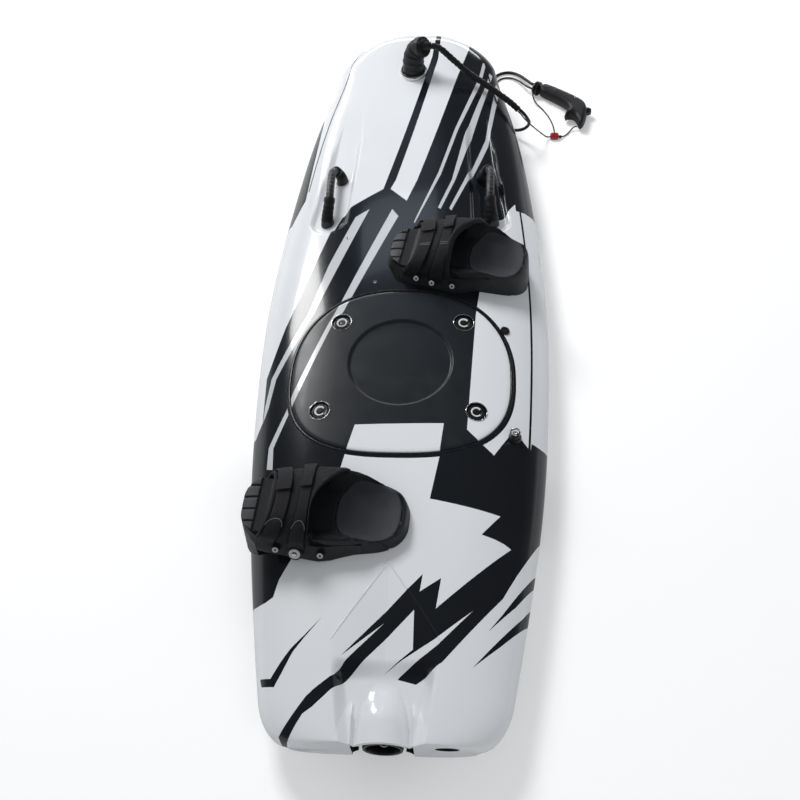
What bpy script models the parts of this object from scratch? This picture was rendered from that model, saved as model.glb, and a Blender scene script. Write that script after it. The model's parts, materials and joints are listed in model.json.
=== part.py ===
"""A jet driven surfboard: hull and deck shells, engine bay with a lift-off hatch,
water jet, foot bindings, carrying grips and a throttle handle on its cable.

Metres, +Y to the nose, +X to starboard, +Z up. The origin is amidships on the
flat of the bottom, where the board rests. Places of the fittings along the board
are measured forward from the transom, and those of the throttle from the nose."""

from bisect import bisect_right
from math import atan2, cos, hypot, pi, radians, sin, sqrt

import bmesh
import bpy
import numpy as np
from mathutils import Matrix, Vector

# Overall form of the board
length = 1.81
beam = 0.604
rail_height = 0.080
crown_height = 0.083
nose_lift = 0.055
nose_round = 0.120
nose_edge = 0.060
tail_round = 0.075
tail_inset = 0.045
tail_rise = 0.050
nose_rise = 0.105
rocker_aft_long = 0.705
rocker_fore_long = 0.555
seam_gap = 0.0003
tail = -length / 2
nose = length / 2
beam_shares = (
    (0.0, 0.672), (0.10, 0.785), (0.25, 0.924), (0.37, 0.981), (0.49, 1.0),
    (0.66, 0.94), (0.83, 0.80), (0.92, 0.665), (1.0, 0.585),
)
crown_shares = ((0.0, 0.58), (0.17, 0.92), (0.30, 1.0), (0.60, 1.0), (0.85, 0.70), (0.95, 0.52), (1.0, 0.40))
flat_share = 0.5
deck_power = 3.0
deck_root = 0.7
bilge_power = 2.2

# Stations and columns of the lofted shells
station_runs = (
    (0.0, 0.04, 4), (0.04, 0.17, 11), (0.17, 0.60, 12), (0.60, 0.86, 11), (0.86, 0.934, 3),
)
nose_turn_shares = (0.25, 0.45, 0.62, 0.76, 0.87, 0.95, 0.995)
deck_columns = 38
bilge_columns = 7
tail_column_share = 0.76

# Clearances shared by all fits
gap = 0.0003
overrun = 0.020

# Rear deck
crease_apex = 0.305
crease_end = 0.172
crease_half = 0.090
facet_slope = 0.09
pocket_front = 0.138
pocket_foot = 0.105
pocket_shoulder = 0.100
pocket_half = 0.074
pocket_wall = 0.024
pocket_depth = 0.026
hump_front = 0.104
hump_half = 0.045
hump_height = 0.026
hump_run = 0.070
ridge_front = 0.076
ridge_x = 0.051
ridge_inner = 0.006
ridge_outer = 0.022
ridge_height = 0.010
ridge_run = 0.035
fine_from = 0.280
fine_to = 0.200

# Recesses under the carrying grips
recess_x = 0.180
recess_aft = 1.150
recess_fore = 1.545
recess_deep_to = 1.305
recess_half = 0.048
recess_depth = 0.016
recess_slant = 0.035

# Hatch
hatch_from_tail = 0.720
hatch_y = tail + hatch_from_tail
hatch_half = 0.219
hatch_fore = 0.197
hatch_aft = 0.195
hatch_fore_power = 2.2
hatch_aft_power = 2.7
hatch_points = 48
hatch_thick = 0.012
hatch_proud = 0.002
lid_clearance = 0.0012
seal_width = 0.005
seal_proud = 0.001
rabbet_width = 0.014
bay_floor = 0.012
dish_radius = 0.105
dish_depth = 0.002
dish_fore = 0.015
latch_shares = ((-0.571, 0.584), (0.571, 0.584), (-0.694, -0.508), (0.694, -0.508))
latch_pocket = 0.021
latch_pocket_depth = 0.006
latch_body = 0.0185
latch_height = 0.0045
latch_ring = 0.0145
latch_wire = 0.0014

# Engine
engine_long = 0.250
engine_wide = 0.180
engine_tall = 0.088
engine_fore = 0.005

# Water jet
jet_z = 0.072
pump_outer = 0.038
pump_wall = 0.004
pump_front = 0.285
pump_back = 0.067
nozzle_back = 0.003
nozzle_mouth = 0.029
impeller_place = 0.205
impeller_clearance = 0.0052
impeller_hub = 0.012
impeller_long = 0.040
blade_count = 3
blade_thick = 0.003
blade_turn = radians(95)
shaft_radius = 0.006
shaft_hole = 0.0068
shaft_end_gap = 0.004
intake_front = 0.505
intake_back = 0.325
intake_half = 0.036
grate_thick = 0.005
grate_bars = 4
grate_rim = 0.005
grate_bar = 0.005
notch_half = 0.052
notch_long = 0.063
notch_roof = 0.007
notch_steps = 14

# Exhaust in the starboard transom
exhaust_x = 0.107
exhaust_z = 0.097
exhaust_half = 0.020
exhaust_tall = 0.009
exhaust_deep = 0.060
exhaust_wall = 0.0015

# Fins
fin_x = 0.140
fin_place = 0.175
fin_root = 0.120
fin_tip = 0.070
fin_sweep = 0.035
fin_thick = 0.008
fin_bevel = 0.0025

# Carrying grips
grip_radius = 0.0095
grip_aft_x = 0.185
grip_fore_x = 0.163
grip_span = 0.135
grip_rise = 0.062
grip_out = 0.180
grip_corner = 0.030
boot_long_share = 0.34
boot_flare = 1.75
boot_swell = 1.25

# Foot bindings
foot_long = 0.300
foot_half = 0.078
foot_tall = 0.034
foot_draft = 0.008
foot_bevel = 0.004
foot_sink = 0.030
heel_dish_x = 0.088
heel_dish_long = 0.056
heel_dish_half = 0.050
heel_dish_deep = 0.014
toe_groove = 0.004
toe_groove_run = 0.038
toe_groove_pitch = 0.024
toe_grooves = 4
arch_toe = -0.110
arch_heel = 0.050
arch_thick = 0.011
arch_toe_rise = 0.064
arch_heel_rise = 0.098
arch_toe_narrow = 0.012
arch_power = 2.3
strap_thick = 0.0026
strap_gap = 0.0006
strap_toe = (-0.098, -0.069)
strap_heel = (-0.041, -0.011)
strap_foot = 0.016
arch_steps = 8
strap_steps = 2
foot_shares = (
    (-1.0, 0.0), (-1.0, 0.38), (-0.93, 0.66), (-0.72, 0.88), (-0.35, 1.0), (0.10, 1.0),
    (0.45, 0.90), (0.76, 0.79), (0.93, 0.56), (1.0, 0.27), (1.0, 0.0),
)
front_x = 0.1135
front_turn = radians(-4)
front_room = 0.010
rear_x = -0.117
rear_turn = 0.0
rear_room = 0.066

# Small deck fittings, placed from the middle of the hatch
vent_x = 0.209
vent_fore = 0.108
vent_radius = 0.010
vent_height = 0.004
post_x = 0.225
post_aft = 0.143
post_radius = 0.011
post_height = 0.012
eye_radius = 0.009
eye_wire = 0.0022

# Throttle cable outlet at the nose
outlet_x = -0.009
outlet_inset = 0.165
ring_outer = 0.034
ring_inner = 0.0285
ring_height = 0.008
boot_base = 0.0275
boot_sunk = 0.0121
boot_rise = 0.089
boot_reach = 0.045
boot_shares = (
    (0, 0, 0), (0, 0, 0.337), (0.022, 0.022, 0.584), (0.156, 0.067, 0.798),
    (0.422, 0.089, 0.944), (0.733, 0.067, 1.0), (1.0, 0.022, 0.989),
)
boot_swell_shares = (1.0, 1.0, 1.0, 0.98, 0.96, 0.93, 0.90)

# Throttle handle, lying on the floor
handle_x = 0.314
handle_inset = 0.066
handle_turn = radians(-35.4)
handle_thick = 0.034
handle_bevel = 0.009
handle_long = 0.172
handle_hook = 0.066
handle_shares = (
    (0.006, -0.273), (0.174, -0.318), (0.430, -0.318), (0.616, -0.303), (0.744, -0.242),
    (0.831, -0.091), (0.919, 0.242), (0.977, 0.606), (1.0, 0.909), (0.942, 1.0),
    (0.872, 0.803), (0.791, 0.667), (0.727, 0.697), (0.698, 0.879), (0.651, 0.833),
    (0.634, 0.455), (0.570, 0.303), (0.326, 0.227), (0.006, 0.212),
)
collar_radius = 0.0185
collar_long = 0.015
collar_groove = 0.002
button_long = 0.011
button_half = 0.0105
button_edge = 5
clip_x = 0.348
clip_inset = 0.237
clip_long = 0.020
clip_wide = 0.015
clip_tall = 0.012
clip_bevel = 0.003

# Cords: the sleeve over the nose, the cable, and the thin lanyards, with y from the nose
sleeve_radius = 0.008
cable_radius = 0.004
stop_cable_radius = 0.0025
lanyard_radius = 0.0015
sleeve_route = (
    (0.0375, -0.1645, 0.2325), (0.060, -0.169, 0.226), (0.092, -0.180, 0.200), (0.128, -0.197, 0.176),
    (0.168, -0.217, 0.158), (0.208, -0.238, 0.139), (0.234, -0.251, 0.125), (0.252, -0.260, 0.112),
)
cable_route = (
    (0.2538, -0.2575, 0.1117), (0.2613, -0.2613, 0.1063), (0.2735, -0.2635, 0.090), (0.280, -0.257, 0.066),
    (0.268, -0.245, 0.039), (0.243, -0.223, 0.017), (0.215, -0.190, 0.0055), (0.197, -0.135, 0.0042),
    (0.186, -0.075, 0.0042), (0.188, -0.023, 0.0042), (0.206, 0.013, 0.0042), (0.236, 0.022, 0.0050),
    (0.262, 0.006, 0.0085), (0.282, -0.023, 0.0145), (0.2960, -0.0434, 0.0180), (0.3058, -0.0503, 0.0183),
)
stop_cable_route = (
    (0.1935, -0.067, 0.0027), (0.1965, -0.037, 0.0027), (0.206, -0.010, 0.0027), (0.223, 0.002, 0.0028),
    (0.243, -0.001, 0.0045), (0.262, -0.019, 0.0090), (0.276, -0.042, 0.0145), (0.2874, -0.0569, 0.0178),
    (0.2965, -0.0634, 0.0183),
)
lanyard_routes = {
    "lanyard_long": (
        (0.2501, -0.2649, 0.1117), (0.2561, -0.2679, 0.1073), (0.270, -0.275, 0.093), (0.290, -0.268, 0.065),
        (0.312, -0.252, 0.031), (0.328, -0.2405, 0.0085), (0.3372, -0.2380, 0.0064),
    ),
    "lanyard_collar": (
        (0.3007, -0.0796, 0.0185), (0.2966, -0.0855, 0.0150), (0.304, -0.104, 0.0065), (0.322, -0.128, 0.0020),
        (0.337, -0.158, 0.0018), (0.346, -0.190, 0.0020), (0.3490, -0.2200, 0.0045), (0.3490, -0.2291, 0.0060),
    ),
    "lanyard_grip": (
        (0.3584, -0.2370, 0.0060), (0.3665, -0.2366, 0.0045), (0.379, -0.2265, 0.0022),
        (0.390, -0.2125, 0.0035), (0.3986, -0.2058, 0.0090), (0.4063, -0.2048, 0.0105),
    ),
}


def smooth_through(points, place):
    """The value at a place on a smooth curve through (place, value) points."""
    places = [p for p, _ in points]
    values = [v for _, v in points]
    slopes = np.gradient(values, places)
    place = min(max(place, places[0]), places[-1])
    i = min(bisect_right(places, place), len(places) - 1) - 1
    run = places[i + 1] - places[i]
    t = (place - places[i]) / run
    return float(
        (1 + 2 * t) * (1 - t) ** 2 * values[i]
        + t * (1 - t) ** 2 * run * slopes[i]
        + t * t * (3 - 2 * t) * values[i + 1]
        + t * t * (t - 1) * run * slopes[i + 1]
    )


def ease(low, high, value):
    """Rises smoothly from 0 at low to 1 at high."""
    t = min(max((value - low) / (high - low), 0), 1)
    return t * t * (3 - 2 * t)


def quarter(value):
    """The height of a unit quarter circle at value."""
    return sqrt(max(0, 1 - min(max(value, 0), 1) ** 2))


def half_beam(y):
    width = beam / 2 * smooth_through(beam_shares, y / length + 0.5)
    width *= quarter((y - nose + nose_round) / nose_round)
    return width - tail_inset * (1 - quarter((tail_round + tail - y) / tail_round))


def fore_share(y):
    """How far y lies from the end of the flat to the nose."""
    return max(0, 1 - (nose - y) / rocker_fore_long)


def nose_cap(y):
    return quarter((y - nose + nose_edge) / nose_edge)


def rail_z(y):
    return rail_height + nose_lift * fore_share(y) ** 2


def keel_z(y):
    aft = max(0, 1 - (y - tail) / rocker_aft_long)
    return tail_rise * aft ** 1.5 + nose_rise * fore_share(y) ** 2.2


def pocket(x, y):
    """Depth of the sunk rear deck behind the crease."""
    x, y = abs(x), y - tail
    slant = (crease_apex - crease_end) / crease_half
    facet = facet_slope * max(0, crease_apex - y - slant * x)
    step = 1 - ease(pocket_foot, pocket_front, y)
    depth = facet + (pocket_depth - facet) * step
    edge = pocket_half + (pocket_shoulder - pocket_half) * min(1, y / crease_end)
    return depth * (1 - ease(edge - pocket_wall, edge, x))


def jet_hump(x, y):
    """Height of the bell shaped cover over the jet, and of the leaf shaped ridge on either side."""
    x, y = abs(x), y - tail
    half = hump_half * sqrt(max(0, 1 - y / hump_front)) + gap
    rise = 1 - ease(hump_front - hump_run, hump_front, y)
    hump = hump_height * rise * max(0, 1 - (x / half) ** 2) ** 0.8
    share = max(0, 1 - y / ridge_front)
    across = abs(x - ridge_x) / ((ridge_outer if x > ridge_x else ridge_inner) * sqrt(share) + gap)
    ridge = ridge_height * (1 - ease(ridge_front - ridge_run, ridge_front, y)) * max(0, 1 - across)
    return max(hump, ridge)


def grip_recess(x, y):
    """Depth of the hand recess under a carrying grip."""
    y -= tail
    fore = max(0, (y - recess_aft) / (recess_fore - recess_aft))
    across = (abs(x) - recess_x + recess_slant * fore) / (recess_half * (1 - fore / 2))
    along = max(0, recess_aft - y) / recess_half
    fade = 1 - ease(recess_deep_to, recess_fore, y)
    return recess_depth * fade * ease(0, 0.6, 1 - across ** 2 - along ** 2)


def deck_z(x, y):
    share = min(abs(x) / half_beam(y), 1)
    crown = crown_height * smooth_through(crown_shares, y / length + 0.5)
    body = crown * (1 - share ** deck_power) ** deck_root * nose_cap(y)
    shape = jet_hump(x, y) - pocket(x, y) - grip_recess(x, y)
    return rail_z(y) + max(0, body + shape * min(1, 4 * (1 - share)))


def hull_z(share, y):
    bilge = max(0, (abs(share) - flat_share) / (1 - flat_share))
    depth = (1 - min(bilge, 1) ** bilge_power) ** (1 / bilge_power)
    return rail_z(y) - (rail_z(y) - keel_z(y)) * nose_cap(y) * depth


def stations():
    """Places of the cross sections, from the transom to the nose."""
    shares = []
    for start, end, count in station_runs:
        shares += [start + (end - start) * i / count for i in range(count)]
    aft = [length * (share - 0.5) for share in shares]
    turn = nose - nose_round
    aft = [y for y in aft if y < turn - nose_round * 0.1]
    return aft + [turn] + [turn + nose_round * share for share in nose_turn_shares]


def deck_column(i, y):
    """Place across the deck of a column, closer together over the jet."""
    half = half_beam(y)
    u = 2 * i / deck_columns - 1
    even = half * sin(pi / 2 * u)
    if abs(u) < tail_column_share:
        close = pocket_shoulder * u / tail_column_share
    else:
        out = sin(pi / 2 * (abs(u) - tail_column_share) / (1 - tail_column_share))
        close = (pocket_shoulder + (half - pocket_shoulder) * out) * (1 if u > 0 else -1)
    return close + (even - close) * ease(fine_to, fine_from, y - tail)


def deck_section(y, lift=0.0):
    """One cross section of the deck, ending on the rail seam."""
    seam = rail_z(y) + seam_gap / 2
    points = []
    for i in range(deck_columns + 1):
        x = deck_column(i, y)
        points.append(Vector((x, y, max(deck_z(x, y), seam) + lift)))
    points[0].z = points[-1].z = seam + lift
    return points


def hull_section(y, lift=0.0):
    """One cross section of the hull, from the starboard rail round the bottom to port."""
    half = half_beam(y)
    seam = rail_z(y) - seam_gap / 2
    bilge = [flat_share + (1 - flat_share) * sin(pi / 2 * i / bilge_columns) for i in range(bilge_columns + 1)]
    shares = bilge[::-1] + [0] + [-share for share in bilge]
    points = [Vector((half * s, y, min(hull_z(s, y), seam) + lift)) for s in shares]
    points[0].z = points[-1].z = seam + lift
    return points


def material(name, colour, roughness, metallic=0.0):
    made = bpy.data.materials.new(name)
    made.use_nodes = True
    shader = made.node_tree.nodes["Principled BSDF"]
    shader.inputs["Base Color"].default_value = (*colour, 1)
    shader.inputs["Roughness"].default_value = roughness
    shader.inputs["Metallic"].default_value = metallic
    made.diffuse_color = (*colour, 1)
    return made


def make_collection(name):
    made = bpy.data.collections.new(name)
    bpy.context.scene.collection.children.link(made)
    return made


def move_to(thing, target):
    for owner in list(thing.users_collection):
        owner.objects.unlink(thing)
    target.objects.link(thing)


def as_part(thing, name, look, parent=None):
    thing.name = name
    thing.data.name = name
    thing.data.materials.clear()
    thing.data.materials.append(look)
    move_to(thing, parts)
    thing.parent = parent or board
    return thing


def as_cutter(thing, name):
    thing.name = name
    thing.hide_render = True
    thing.display_type = "WIRE"
    move_to(thing, cutters)
    return thing


def boolean(thing, cutter, operation="DIFFERENCE"):
    change = thing.modifiers.new(cutter.name, "BOOLEAN")
    change.object = cutter
    change.operation = operation
    change.solver = "EXACT"
    return thing


def bevel(thing, width, segments=2, angle=radians(35)):
    change = thing.modifiers.new("edges", "BEVEL")
    change.width = width
    change.segments = segments
    change.limit_method = "ANGLE"
    change.angle_limit = angle
    return thing


def smooth(thing, angle=radians(35)):
    thing.data.shade_smooth()
    thing.data.set_sharp_from_angle(angle=angle)
    return thing


def from_bmesh(mesh, name):
    bmesh.ops.recalc_face_normals(mesh, faces=mesh.faces)
    data = bpy.data.meshes.new(name)
    mesh.to_mesh(data)
    mesh.free()
    thing = bpy.data.objects.new(name, data)
    bpy.context.scene.collection.objects.link(thing)
    return thing


def loft(rings, name, closed=False):
    """A solid through rings of equal point counts, capped unless it closes on itself."""
    mesh = bmesh.new()
    rows = [[mesh.verts.new(point) for point in ring] for ring in rings]
    pairs = list(zip(rows, rows[1:] + rows[:1])) if closed else list(zip(rows, rows[1:]))
    for one, two in pairs:
        for i in range(len(one)):
            j = (i + 1) % len(one)
            mesh.faces.new((one[i], one[j], two[j], two[i]))
    if not closed:
        mesh.faces.new(rows[0])
        mesh.faces.new(rows[-1])
    sides = [face for face in mesh.faces if len(face.verts) == 4]
    bmesh.ops.triangulate(mesh, faces=sides, quad_method="FIXED")
    return from_bmesh(mesh, name)


def to_mesh(thing):
    """The curve as a mesh object with its caps welded."""
    bpy.context.view_layer.update()
    evaluated = thing.evaluated_get(bpy.context.evaluated_depsgraph_get())
    data = bpy.data.meshes.new_from_object(evaluated)
    mesh = bmesh.new()
    mesh.from_mesh(data)
    bmesh.ops.remove_doubles(mesh, verts=mesh.verts, dist=gap / 10)
    mesh.transform(thing.matrix_world)
    bpy.data.meshes.remove(data)
    name = thing.name
    bpy.data.objects.remove(thing)
    return from_bmesh(mesh, name)


def plate(points, low, high, name, across=False):
    """A flat outline between two levels: over the floor, or across the board for a side view."""
    curve = bpy.data.curves.new(name, "CURVE")
    curve.dimensions = "2D"
    curve.fill_mode = "BOTH"
    curve.extrude = (high - low) / 2
    spline = curve.splines.new("POLY")
    spline.points.add(len(points) - 1)
    for target, point in zip(spline.points, points):
        target.co = (*point, 0, 1)
    spline.use_cyclic_u = True
    thing = bpy.data.objects.new(name, curve)
    bpy.context.scene.collection.objects.link(thing)
    place = Matrix.Translation((0, 0, (low + high) / 2))
    turn = Matrix(((0, 0, 1, 0), (1, 0, 0, 0), (0, 1, 0, 0), (0, 0, 0, 1)))
    thing.matrix_world = turn @ place if across else place
    return to_mesh(thing)


def box(low, high, name):
    corners = ((low[0], low[1]), (high[0], low[1]), (high[0], high[1]), (low[0], high[1]))
    return plate(corners, low[2], high[2], name)


def turned(profile, name, steps=32, along_y=False):
    """A body turned round Z from (radius, height) points running down its outer side."""
    data = bpy.data.meshes.new(name)
    count = len(profile)
    whole = profile[0][0] > 0
    edges = [(i, i + 1) for i in range(count - 1)] + ([(count - 1, 0)] if whole else [])
    data.from_pydata([(r, 0, z) for r, z in profile], edges, [])
    thing = bpy.data.objects.new(name, data)
    bpy.context.scene.collection.objects.link(thing)
    screw = thing.modifiers.new("turn", "SCREW")
    screw.steps = screw.render_steps = steps
    screw.use_merge_vertices = True
    screw.merge_threshold = gap / 10
    if along_y:
        thing.rotation_euler = (-pi / 2, 0, 0)
    return thing


def tube(points, radius, name, resolution=3, swell=None):
    curve = bpy.data.curves.new(name, "CURVE")
    curve.dimensions = "3D"
    curve.bevel_depth = radius
    curve.bevel_resolution = resolution
    curve.use_fill_caps = True
    spline = curve.splines.new("POLY")
    spline.points.add(len(points) - 1)
    for i, (target, point) in enumerate(zip(spline.points, points)):
        target.co = (*point, 1)
        target.radius = swell[i] if swell else 1
    thing = bpy.data.objects.new(name, curve)
    bpy.context.scene.collection.objects.link(thing)
    return thing


def route(points, spacing):
    """Points along a smooth curve through the route's own points."""
    points = [Vector(p) for p in points]
    padded = [2 * points[0] - points[1], *points, 2 * points[-1] - points[-2]]
    fine = [points[0]]
    for a, b, c, d in zip(padded, padded[1:], padded[2:], padded[3:]):
        for i in range(1, 17):
            t = i / 16
            fine.append(
                0.5 * (2 * b + (c - a) * t + (2 * a - 5 * b + 4 * c - d) * t * t
                       + (3 * b - a - 3 * c + d) * t ** 3)
            )
    total = sum((b - a).length for a, b in zip(fine, fine[1:]))
    count = max(3, round(total / spacing))
    chosen, walked = [fine[0]], 0
    for a, b in zip(fine, fine[1:]):
        walked += (b - a).length
        if walked >= total / count * len(chosen) and len(chosen) < count:
            chosen.append(b)
    return chosen + [fine[-1]]


def hatch_outline(offset=0.0):
    points = []
    for i in range(hatch_points):
        angle = 2 * pi * i / hatch_points
        fore = sin(angle) >= 0
        power = 2 / (hatch_fore_power if fore else hatch_aft_power)
        reach = (hatch_fore if fore else hatch_aft) + offset
        x = (hatch_half + offset) * abs(cos(angle)) ** power
        y = reach * abs(sin(angle)) ** power
        points.append((x if cos(angle) >= 0 else -x, hatch_y + (y if fore else -y)))
    return points


def shell_copy(sections, lift, name):
    return as_cutter(loft([sections(y, lift) for y in stations()], name), name)


def make_hull():
    hull = as_part(loft([hull_section(y) for y in stations()], "hull"), "hull", white)
    return smooth(hull)


def make_deck():
    deck = as_part(loft([deck_section(y) for y in stations()], "deck"), "deck", white)
    return smooth(deck)


def cut_bay(hull, deck):
    opening = hatch_outline(-rabbet_width)
    well = as_cutter(plate(opening, bay_floor, rail_height + crown_height + overrun, "bay_well"), "bay_well")
    boolean(hull, well)
    boolean(deck, well)
    rim = plate(hatch_outline(lid_clearance + seal_width), rail_height + overrun / 2,
                rail_height + crown_height + overrun, "rabbet")
    boolean(rim, shell_copy(deck_section, -hatch_thick, "rabbet_floor"))
    boolean(deck, as_cutter(rim, "rabbet"))


def hatch_layer(outline, proud, name):
    """A slice of the deck inside an outline, from the rabbet floor to just proud of the deck."""
    low = rail_height + overrun / 2
    high = rail_height + crown_height + overrun
    layer = plate(outline, low, high, name)
    boolean(layer, shell_copy(deck_section, proud, name + "_top"), "INTERSECT")
    boolean(layer, shell_copy(deck_section, gap - hatch_thick, name + "_floor"))
    return layer


def make_hatch():
    lid = as_part(hatch_layer(hatch_outline(), hatch_proud, "hatch_lid"), "hatch_lid", satin_black)
    dish_y = hatch_y + dish_fore
    dish_z = deck_z(0, dish_y) + hatch_proud - dish_depth
    dish = turned(((0, overrun), (dish_radius, overrun), (dish_radius - dish_depth, 0), (0, 0)), "dish", 40)
    dish.location = (0, dish_y, dish_z)
    boolean(lid, as_cutter(dish, "dish"))
    for i, (across, along) in enumerate(latch_shares, 1):
        x, y = across * hatch_half, hatch_y + along * (hatch_fore if along > 0 else hatch_aft)
        floor = deck_z(x, y) + hatch_proud - latch_pocket_depth
        pocket_cut = turned(((0, overrun), (latch_pocket, overrun), (latch_pocket, 0), (0, 0)), "latch_pocket", 24)
        pocket_cut.location = (x, y, floor)
        boolean(lid, as_cutter(pocket_cut, f"latch_pocket_{i}"))
        make_latch(i, (x, y, floor + gap))
    seal = hatch_layer(hatch_outline(lid_clearance + seal_width - gap), seal_proud, "hatch_seal")
    inner = plate(hatch_outline(lid_clearance), rail_height, rail_height + crown_height + 2 * overrun, "seal_inner")
    boolean(seal, as_cutter(inner, "seal_inner"))
    as_part(seal, "hatch_seal", rubber)


def make_latch(number, place):
    """A quarter turn fastener: a low disc with a raised ring pull round a slotted boss."""
    inner = latch_ring - 3 * latch_wire
    low = latch_height / 2
    profile = (
        (0, latch_height), (inner - latch_wire, latch_height), (inner, low), (inner + latch_wire, low),
        (latch_ring - latch_wire, latch_height), (latch_ring + latch_wire, latch_height),
        (latch_ring + 2 * latch_wire, low), (latch_body, low), (latch_body, 0), (0, 0),
    )
    latch = as_part(turned(profile, "latch", 16), f"hatch_latch_{number}", steel)
    latch.location = place
    smooth(latch)


def engine_back():
    return hatch_y + engine_fore - engine_long / 2


def make_engine():
    back = engine_back()
    low = (-engine_wide / 2, back, bay_floor + gap)
    high = (engine_wide / 2, back + engine_long, bay_floor + gap + engine_tall)
    as_part(box(low, high, "engine"), "engine_block", dark_metal)


def rod(radius, back, front, name, steps=16):
    """A round bar or bore along Y on the jet axis, between two places forward of the transom."""
    thing = turned(((0, front - back), (radius, front - back), (radius, 0), (0, 0)), name, steps, True)
    thing.location = (0, tail + back, jet_z)
    return thing


def notch_arch(y):
    """The outline across the board, at y, of the opening under the bell shaped cover."""
    ring = [Vector((notch_half, y, -overrun)), Vector((-notch_half, y, -overrun))]
    for i in range(notch_steps + 1):
        x = notch_half * (2 * i / notch_steps - 1)
        roof = min(deck_z(x, tail), deck_z(x, tail + notch_long / 2), deck_z(x, tail + notch_long))
        ring.append(Vector((x, y, roof - notch_roof)))
    return ring


def cut_tunnel(hull, deck):
    bore = as_cutter(rod(pump_outer + gap, -overrun, pump_front + gap, "jet_bore", 32), "jet_bore")
    front, back, duct = tail + intake_front, tail + intake_back, tail + pump_front - gap
    side = (
        (front, -overrun), (back, -overrun), (back, jet_z - pump_outer * 0.7),
        (duct, jet_z - pump_outer * 0.7), (duct, jet_z + pump_outer * 0.7),
        (back, jet_z + pump_outer * 0.6), (front, keel_z(front) + grate_thick),
    )
    ramp = as_cutter(plate(side, -intake_half, intake_half, "intake_ramp", across=True), "intake_ramp")
    shaft_way = as_cutter(rod(shaft_hole, intake_back, engine_back() - tail, "shaft_way"), "shaft_way")
    notch = as_cutter(loft([notch_arch(tail - overrun), notch_arch(tail + notch_long)], "notch"), "notch")
    for cutter in (bore, ramp, notch):
        boolean(hull, cutter)
        boolean(deck, cutter)
    boolean(hull, shaft_way)


def make_pump():
    bore = pump_outer - pump_wall
    long = pump_front - pump_back
    pump = turned(((pump_outer, long), (pump_outer, 0), (bore, 0), (bore, long)), "pump", 32, True)
    pump.location = (0, tail + pump_back, jet_z)
    smooth(as_part(pump, "pump_housing", dark_metal))
    run = pump_back - gap - nozzle_back
    profile = (
        (pump_outer, run), (pump_outer, run * 0.8), (nozzle_mouth + pump_wall, run * 0.15),
        (nozzle_mouth + pump_wall, 0), (nozzle_mouth, 0), (nozzle_mouth, run * 0.15),
        (bore, run * 0.8), (bore, run),
    )
    nozzle = turned(profile, "nozzle", 32, True)
    nozzle.location = (0, tail + nozzle_back, jet_z)
    smooth(as_part(nozzle, "jet_nozzle", steel))


def make_impeller():
    """A hub on its shaft with blades wound round it, as one casting."""
    half = impeller_long / 2
    impeller_y = tail + impeller_place
    front = engine_back() - shaft_end_gap - impeller_y
    profile = (
        (0, front), (shaft_radius, front), (shaft_radius, half),
        (impeller_hub, half), (impeller_hub, -half), (impeller_hub / 2, -half - impeller_hub),
        (0, -half - impeller_hub),
    )
    axle = bpy.data.objects.new("impeller_axis", None)
    parts.objects.link(axle)
    axle.location = (0, impeller_y, jet_z)
    axle.rotation_euler = (-pi / 2, 0, 0)
    axle.parent = board
    impeller = as_part(turned(profile, "impeller", 20), "impeller", steel, axle)
    tip = pump_outer - pump_wall - impeller_clearance
    steps = 8
    for blade in range(blade_count):
        rings = []
        for i in range(steps + 1):
            share = i / steps
            angle = 2 * pi * blade / blade_count + blade_turn * share
            z = half * 0.9 * (1 - 2 * share)
            out = Vector((cos(angle), sin(angle), 0))
            side = Vector((-sin(angle), cos(angle), 0)) * blade_thick / 2
            thick = Vector((0, 0, blade_thick / 2))
            root = out * impeller_hub * 0.6 + Vector((0, 0, z))
            end = out * tip + Vector((0, 0, z))
            offset = (side + thick) / 2 * 1.2
            rings.append([root - offset, end - offset * 0.6, end + offset * 0.6, root + offset])
        wing = loft(rings, "blade")
        wing.parent = axle
        boolean(impeller, as_cutter(wing, f"blade_{blade + 1}"), "UNION")


def make_grate():
    """Bars across the water intake, set in the slope of the bottom."""
    front, back = tail + intake_front - gap, tail + intake_back + gap
    half = intake_half - gap
    middle = (front + back) / 2
    slope = atan2(keel_z(back) - keel_z(front), back - front)
    run = hypot(front - back, keel_z(back) - keel_z(front)) / 2 - grate_thick / 2
    frame = box((-half, -run, 0), (half, run, grate_thick), "grate")
    slots = grate_bars + 1
    pitch = (2 * (half - grate_rim) + grate_bar) / slots
    for i in range(slots):
        left = -half + grate_rim + pitch * i
        slot = box((left, grate_rim - run, -grate_thick), (left + pitch - grate_bar, run - grate_rim, 2 * grate_thick), "slot")
        slot.parent = frame
        boolean(frame, as_cutter(slot, f"grate_slot_{i + 1}"))
    as_part(frame, "intake_grate", dark_metal)
    frame.location = (0, middle, (keel_z(front) + keel_z(back)) / 2)
    frame.rotation_euler = (slope, 0, 0)


def make_fins(bottom):
    fin_y = tail + fin_place
    for side, name in ((-1, "fin_left"), (1, "fin_right")):
        root = keel_z(fin_y) + overrun
        outline = (
            (fin_y + fin_root / 2, root), (fin_y + fin_tip / 2 - fin_sweep, 0),
            (fin_y - fin_tip / 2 - fin_sweep, 0), (fin_y - fin_root / 2, root),
        )
        middle = side * fin_x
        fin = plate(outline, middle - fin_thick / 2, middle + fin_thick / 2, name, across=True)
        boolean(bevel(fin, fin_bevel, 1), bottom)
        as_part(fin, name, rubber)


def oval(x, z, half, tall, count=20):
    return [(x + half * cos(2 * pi * i / count), z + tall * sin(2 * pi * i / count)) for i in range(count)]


def oval_bar(half, tall, back, front, name):
    """An oval bar along Y at the exhaust."""
    rings = [[Vector((x, y, z)) for x, z in oval(exhaust_x, exhaust_z, half, tall)] for y in (back, front)]
    return loft(rings, name)


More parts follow.
